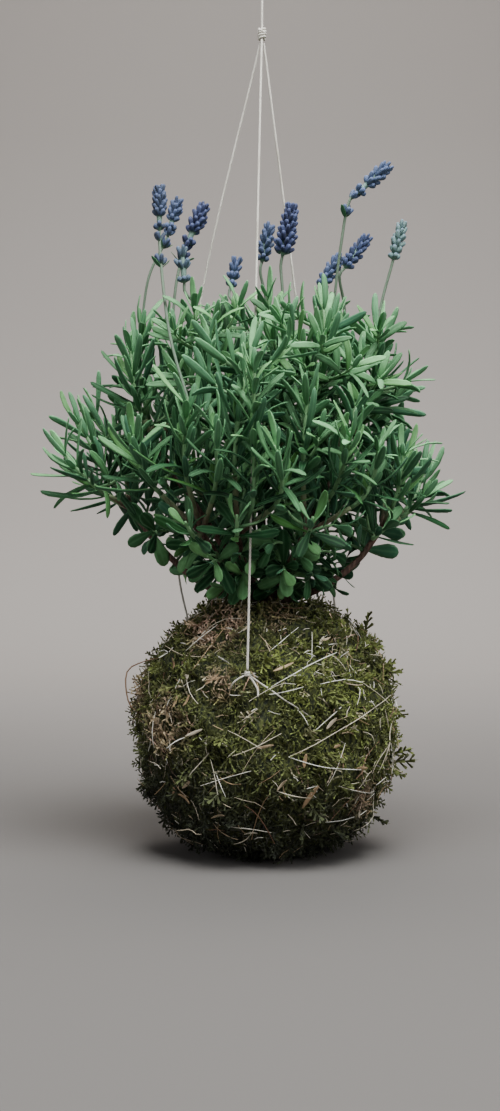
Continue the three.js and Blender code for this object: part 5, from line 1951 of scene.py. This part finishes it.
class KOKEDAMA_OT_thread(bpy.types.Operator):
    """Wind the binding thread round the ball, with its three ties"""

    bl_idname = "kokedama.thread"
    bl_label = "Binding thread"

    def execute(self, context):
        tied = ties()
        shape = Shape(crest="FLOAT")
        loops = ((tied["left"], tied["right"]), (tied["left"], LOOP_POINTS["right"]),
                 (tied["right"], LOOP_POINTS["left"]))
        for middle, last in loops:
            curve = curve_through(thread_loop([tied["front"], middle, last]), closed=True)
            pitch = curve.length / round(curve.length / THREAD_PITCH)
            points = even_points(curve, THREAD_STEP)[:-1]
            cord_shape(shape, points, THREAD_RADIUS * THREAD_SHARE, THREAD_STEP, pitch, closed=True)
        for seed, tie in enumerate(tied.values()):
            wrap(shape, tie, 0.95, 1.1, 2.5, 0.55, seed + 3)
            wrap(shape, tie, 0.7, 0.5, 1.5, 0.5, seed + 13, axis=tie - BALL_CENTRE)
        tail = [tied["front"] + (0.6, 0, -1.0), *(seen_on_bed(x, z, 4.4) for x, z in THREAD_TAIL)]
        cord_shape(shape, even_points(curve_through(tail), 0.6), 0.5, 0.6)
        cotton = string_look("thread_cotton", context.scene.kokedama_strings, tied["front"])
        finished(shape.piece("bound_thread"), "thread", "binding_thread", material=cotton)
        return {"FINISHED"}


class KOKEDAMA_OT_strings(bpy.types.Operator):
    """Twist the three strings, their knot, and the strand and loop above it"""

    bl_idname = "kokedama.strings"
    bl_label = "Strings"

    def execute(self, context):
        cotton = string_look("string_cotton", context.scene.kokedama_strings)
        knot = Shape(crest="FLOAT")
        wrap(knot, KNOT_CENTRE, 1.75, 2.9, 4.5, STRING_RADIUS, 2)
        wrap(knot, KNOT_CENTRE + (0, 0, 0.6), 1.9, 1.0, 1.5, STRING_RADIUS, 8, axis=(0.5, 0.2, 1))
        knot = finished(knot.piece("knot_wraps"), "string", "gather_knot", material=cotton)
        loop = Shape(crest="FLOAT")
        foot = vec([KNOT_CENTRE[0], 0, LOOP_FOOT])
        wrap(loop, foot + (0, 0, 2.0), 1.0, 1.5, 3, 0.55, 5)
        middle = foot + (0, 0, 3 + LOOP_RADIUS)
        ring = [middle + LOOP_RADIUS * vec([cos(a) * 0.95, 0, sin(a)]) for a in turns(16)]
        cord_shape(loop, even_points(curve_through(ring, closed=True))[:-1], STRING_RADIUS, closed=True)
        loop = finished(loop.piece("loop_wraps"), "string", "hang_loop", material=cotton)
        for name, (start, end) in string_ends().items():
            nodes, ends, path = [f"string_{name}"], [], string_path(name, start, end)
            if name == "front":
                top = foot - (0, 0, GAP)
                path = curve_through([start, blend_of(start, end, 0.5), end, KNOT_CENTRE,
                                      blend_of(KNOT_CENTRE, top, 0.5), top])
                nodes.append("top_strand")
                ends = [knot, loop]
            points = even_points(path)
            piece = cord_shape(Shape(crest="FLOAT"), points, STRING_RADIUS).piece(f"twisted_string_{name}")
            finished(piece, "string", *nodes, material=cotton)
            tuple(points[0] * MM)
            [tuple(p * MM) for p in points]
            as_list(ends)
        return {"FINISHED"}


class KOKEDAMA_OT_crown(bpy.types.Operator):
    """Grow the woody trunk, branches and twigs"""

    bl_idname = "kokedama.crown"
    bl_label = "Woody crown"

    def execute(self, context):
        shape = Shape(young="FLOAT")
        heights, radii = zip(*TRUNK)
        limb(shape, [Z * height for height in heights], radii, [0.0] * len(TRUNK), 16)
        for route in ROUTES.values():
            curve = curve_through(route)
            shares = np.linspace(0, 1, max(10, round(curve.length / 2.2)))
            swell = [1 + 0.16 * max(0, sin(s * curve.length * 0.55)) ** 6 for s in shares]
            radii = [blend_of(BRANCH_RADIUS, FORK_RADIUS, s) * 0.82 * w for s, w in zip(shares, swell)]
            radii[-1] *= 0.6
            limb(shape, curve.spread(len(shares)), radii, 0.25 * shares)
        for shoot in SHOOTS.values():
            fork = ROUTES[shoot.fork][-1]
            shares = np.linspace(0, 1, max(5, round(norm(shoot.foot - fork) / 2.5)))
            radii = [blend_of(TWIG_RADIUS + 0.2, TWIG_RADIUS, s) * (1 + 0.1 * sin(s * 19)) for s in shares]
            limb(shape, [blend_of(fork, shoot.foot, s) for s in shares], radii, 0.25 + 0.75 * shares, 8)
        bark = bark_look(context.scene.kokedama_plant)
        finished(shape.piece("branches"), "wood", "woody_crown", material=bark)
        return {"FINISHED"}


class KOKEDAMA_OT_shoots(bpy.types.Operator):
    """Grow the leafy shoots"""

    bl_idname = "kokedama.shoots"
    bl_label = "Leafy shoots"

    def execute(self, context):
        look = leaf_look(context.scene.kokedama_plant)
        tree = growth_tree()
        picked = templates("leaves", leaf_templates())
        stalks = {spike.shoot: (curve_through(stalk_line(spike)), spike.parted) for spike in SPIKES.values()}
        room = plant_room()
        grown = {name: main_leaves(room, index, name, stalks) for index, name in enumerate(SHOOTS)}
        inner = [cover_shoot(room)]
        for index, (name, (leaves, nodes, stem)) in enumerate(grown.items()):
            leaves += extra_leaves(room, index, name, nodes, stem)
            route, _ = stalks.get(name, (None, None))
            piece = shoot_base(leaves, stem, route).piece(f"lavender_{name}")
            tree.grow(piece, Templates=picked, Material=look, Size=1.0)
            finished(piece, "leaf", f"shoot_{name}")
        inner += inner_shoots(room)
        for branch in BRANCHES:
            shape = Shape(**GROWTH)
            for name, curve, leaves, radii in inner:
                if name == branch:
                    young = np.linspace(0.0, 0.6, INNER_RINGS)
                    put_stem(shape, curve.spread(INNER_RINGS), np.linspace(*radii, INNER_RINGS), young, 6)
                    put_leaves(shape, leaves)
            if shape.count:
                piece = shape.piece(f"inner_shoots_{branch}")
                finished(tree.grow(piece, Templates=picked, Material=look, Size=1.0), "leaf")
        drop_templates(picked)
        return {"FINISHED"}


class KOKEDAMA_OT_spikes(bpy.types.Operator):
    """Grow the flower spikes"""

    bl_idname = "kokedama.spikes"
    bl_label = "Flower spikes"

    def execute(self, context):
        look = flower_look(context.scene.kokedama_plant)
        tree = growth_tree()
        picked = templates("buds", [calyx_mesh(curve) for curve in (0.12, 0.2, 0.05)])
        for index, (name, spike) in enumerate(SPIKES.items()):
            buds, draw = spike_buds(index, spike)
            if spike.parted:
                buds += lower_buds(spike, draw)
            piece = spike_base(spike, buds, draw).piece(f"flowers_{name}")
            tree.grow(piece, Templates=picked, Material=look, Size=1.0)
            finished(piece, "flower", f"spike_{name}")
        drop_templates(picked)
        return {"FINISHED"}


class KOKEDAMA_OT_stage(bpy.types.Operator):
    """Set the camera, the soft light and the pale floor that curves up behind"""

    bl_idname = "kokedama.stage"
    bl_label = "Stage"

    def execute(self, context):
        scene = context.scene
        look = scene.kokedama_stage
        camera = bpy.data.cameras.new("camera")
        camera.sensor_width = 36.0
        camera.lens = camera.sensor_width * FOCAL_PIXELS / IMAGE_HEIGHT
        scene.camera = object_of("camera", camera)
        scene.camera.location = CAMERA_PLACE
        scene.camera.rotation_euler = (radians(90), 0, 0)
        curved = [(SWEEP_FOOT + SWEEP_RADIUS * sin(a), SWEEP_RADIUS * (1 - cos(a)))
                  for a in np.linspace(0.1, pi / 2, SWEEP_STEPS)]
        top = (SWEEP_FOOT + SWEEP_RADIUS, STAGE_TOP)
        profile = [(STAGE_FRONT, 0.0), (SWEEP_FOOT, 0.0), *curved, top]
        points = [(x / MM, y / MM, z / MM) for x in (-STAGE_HALF_WIDTH, STAGE_HALF_WIDTH) for y, z in profile]
        count = len(profile)
        faces = [(k, count + k, count + k + 1, k + 1) for k in range(count - 1)]
        floor = Shape().put(points, faces).piece("stage_floor")
        floor.data.materials.append(stage_look(look.floor_colour))
        floor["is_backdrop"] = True
        for name, (place, aim, size, share, tint) in LAMPS.items():
            light = bpy.data.lights.new(name, "AREA")
            light.shape, light.size, light.energy, light.color = "DISK", size, look.light * share, tint
            lamp = object_of(name, light)
            lamp.location = place
            lamp.rotation_euler = (Vector(aim) - Vector(place)).to_track_quat("-Z", "Y").to_euler()
        world = bpy.data.worlds.new("soft_room")
        world.use_nodes = True
        back = world.node_tree.nodes["Background"]
        back.inputs["Color"].default_value = (*SURROUNDINGS_COLOUR, 1)
        back.inputs["Strength"].default_value = look.surroundings
        scene.world = world
        return {"FINISHED"}


class KOKEDAMA_PT_pieces(bpy.types.Panel):
    """Lists the kokedama's settings and pieces"""

    bl_idname = "KOKEDAMA_PT_pieces"
    bl_label = "Kokedama"
    bl_space_type = "VIEW_3D"
    bl_region_type = "UI"
    bl_category = "Kokedama"

    def draw(self, context):
        for group in GROUPS:
            settings = getattr(context.scene, group)
            for name in type(settings).__annotations__:
                self.layout.prop(settings, name)
        for operator in OPERATORS:
            self.layout.operator(operator.bl_idname)


GROUPS = {
    "kokedama_moss": KokedamaMossSettings,
    "kokedama_plant": KokedamaPlantSettings,
    "kokedama_strings": KokedamaStringSettings,
    "kokedama_stage": KokedamaStageSettings,
}
OPERATORS = (
    KOKEDAMA_OT_stage, KOKEDAMA_OT_strings, KOKEDAMA_OT_soil, KOKEDAMA_OT_moss, KOKEDAMA_OT_litter,
    KOKEDAMA_OT_thread, KOKEDAMA_OT_crown, KOKEDAMA_OT_shoots, KOKEDAMA_OT_spikes,
)


def register():
    for each in (*GROUPS.values(), *OPERATORS, KOKEDAMA_PT_pieces):
        bpy.utils.register_class(each)
    for name, group in GROUPS.items():
        setattr(bpy.types.Scene, name, PointerProperty(type=group))


def unregister():
    for name in GROUPS:
        delattr(bpy.types.Scene, name)
    for each in (KOKEDAMA_PT_pieces, *reversed(OPERATORS), *GROUPS.values()):
        bpy.utils.unregister_class(each)


def main():
    register()
    bpy.ops.kokedama.stage()
    bpy.ops.kokedama.strings()
    bpy.ops.kokedama.soil()
    bpy.ops.kokedama.moss()
    bpy.ops.kokedama.litter()
    bpy.ops.kokedama.thread()
    bpy.ops.kokedama.crown()
    bpy.ops.kokedama.shoots()
    bpy.ops.kokedama.spikes()
    boxes = {"cad": cad_box, "visual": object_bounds()}
    {name: [list(corner) for corner in box] for name, box in boxes.items()}


if __name__ == "__main__":
    main()
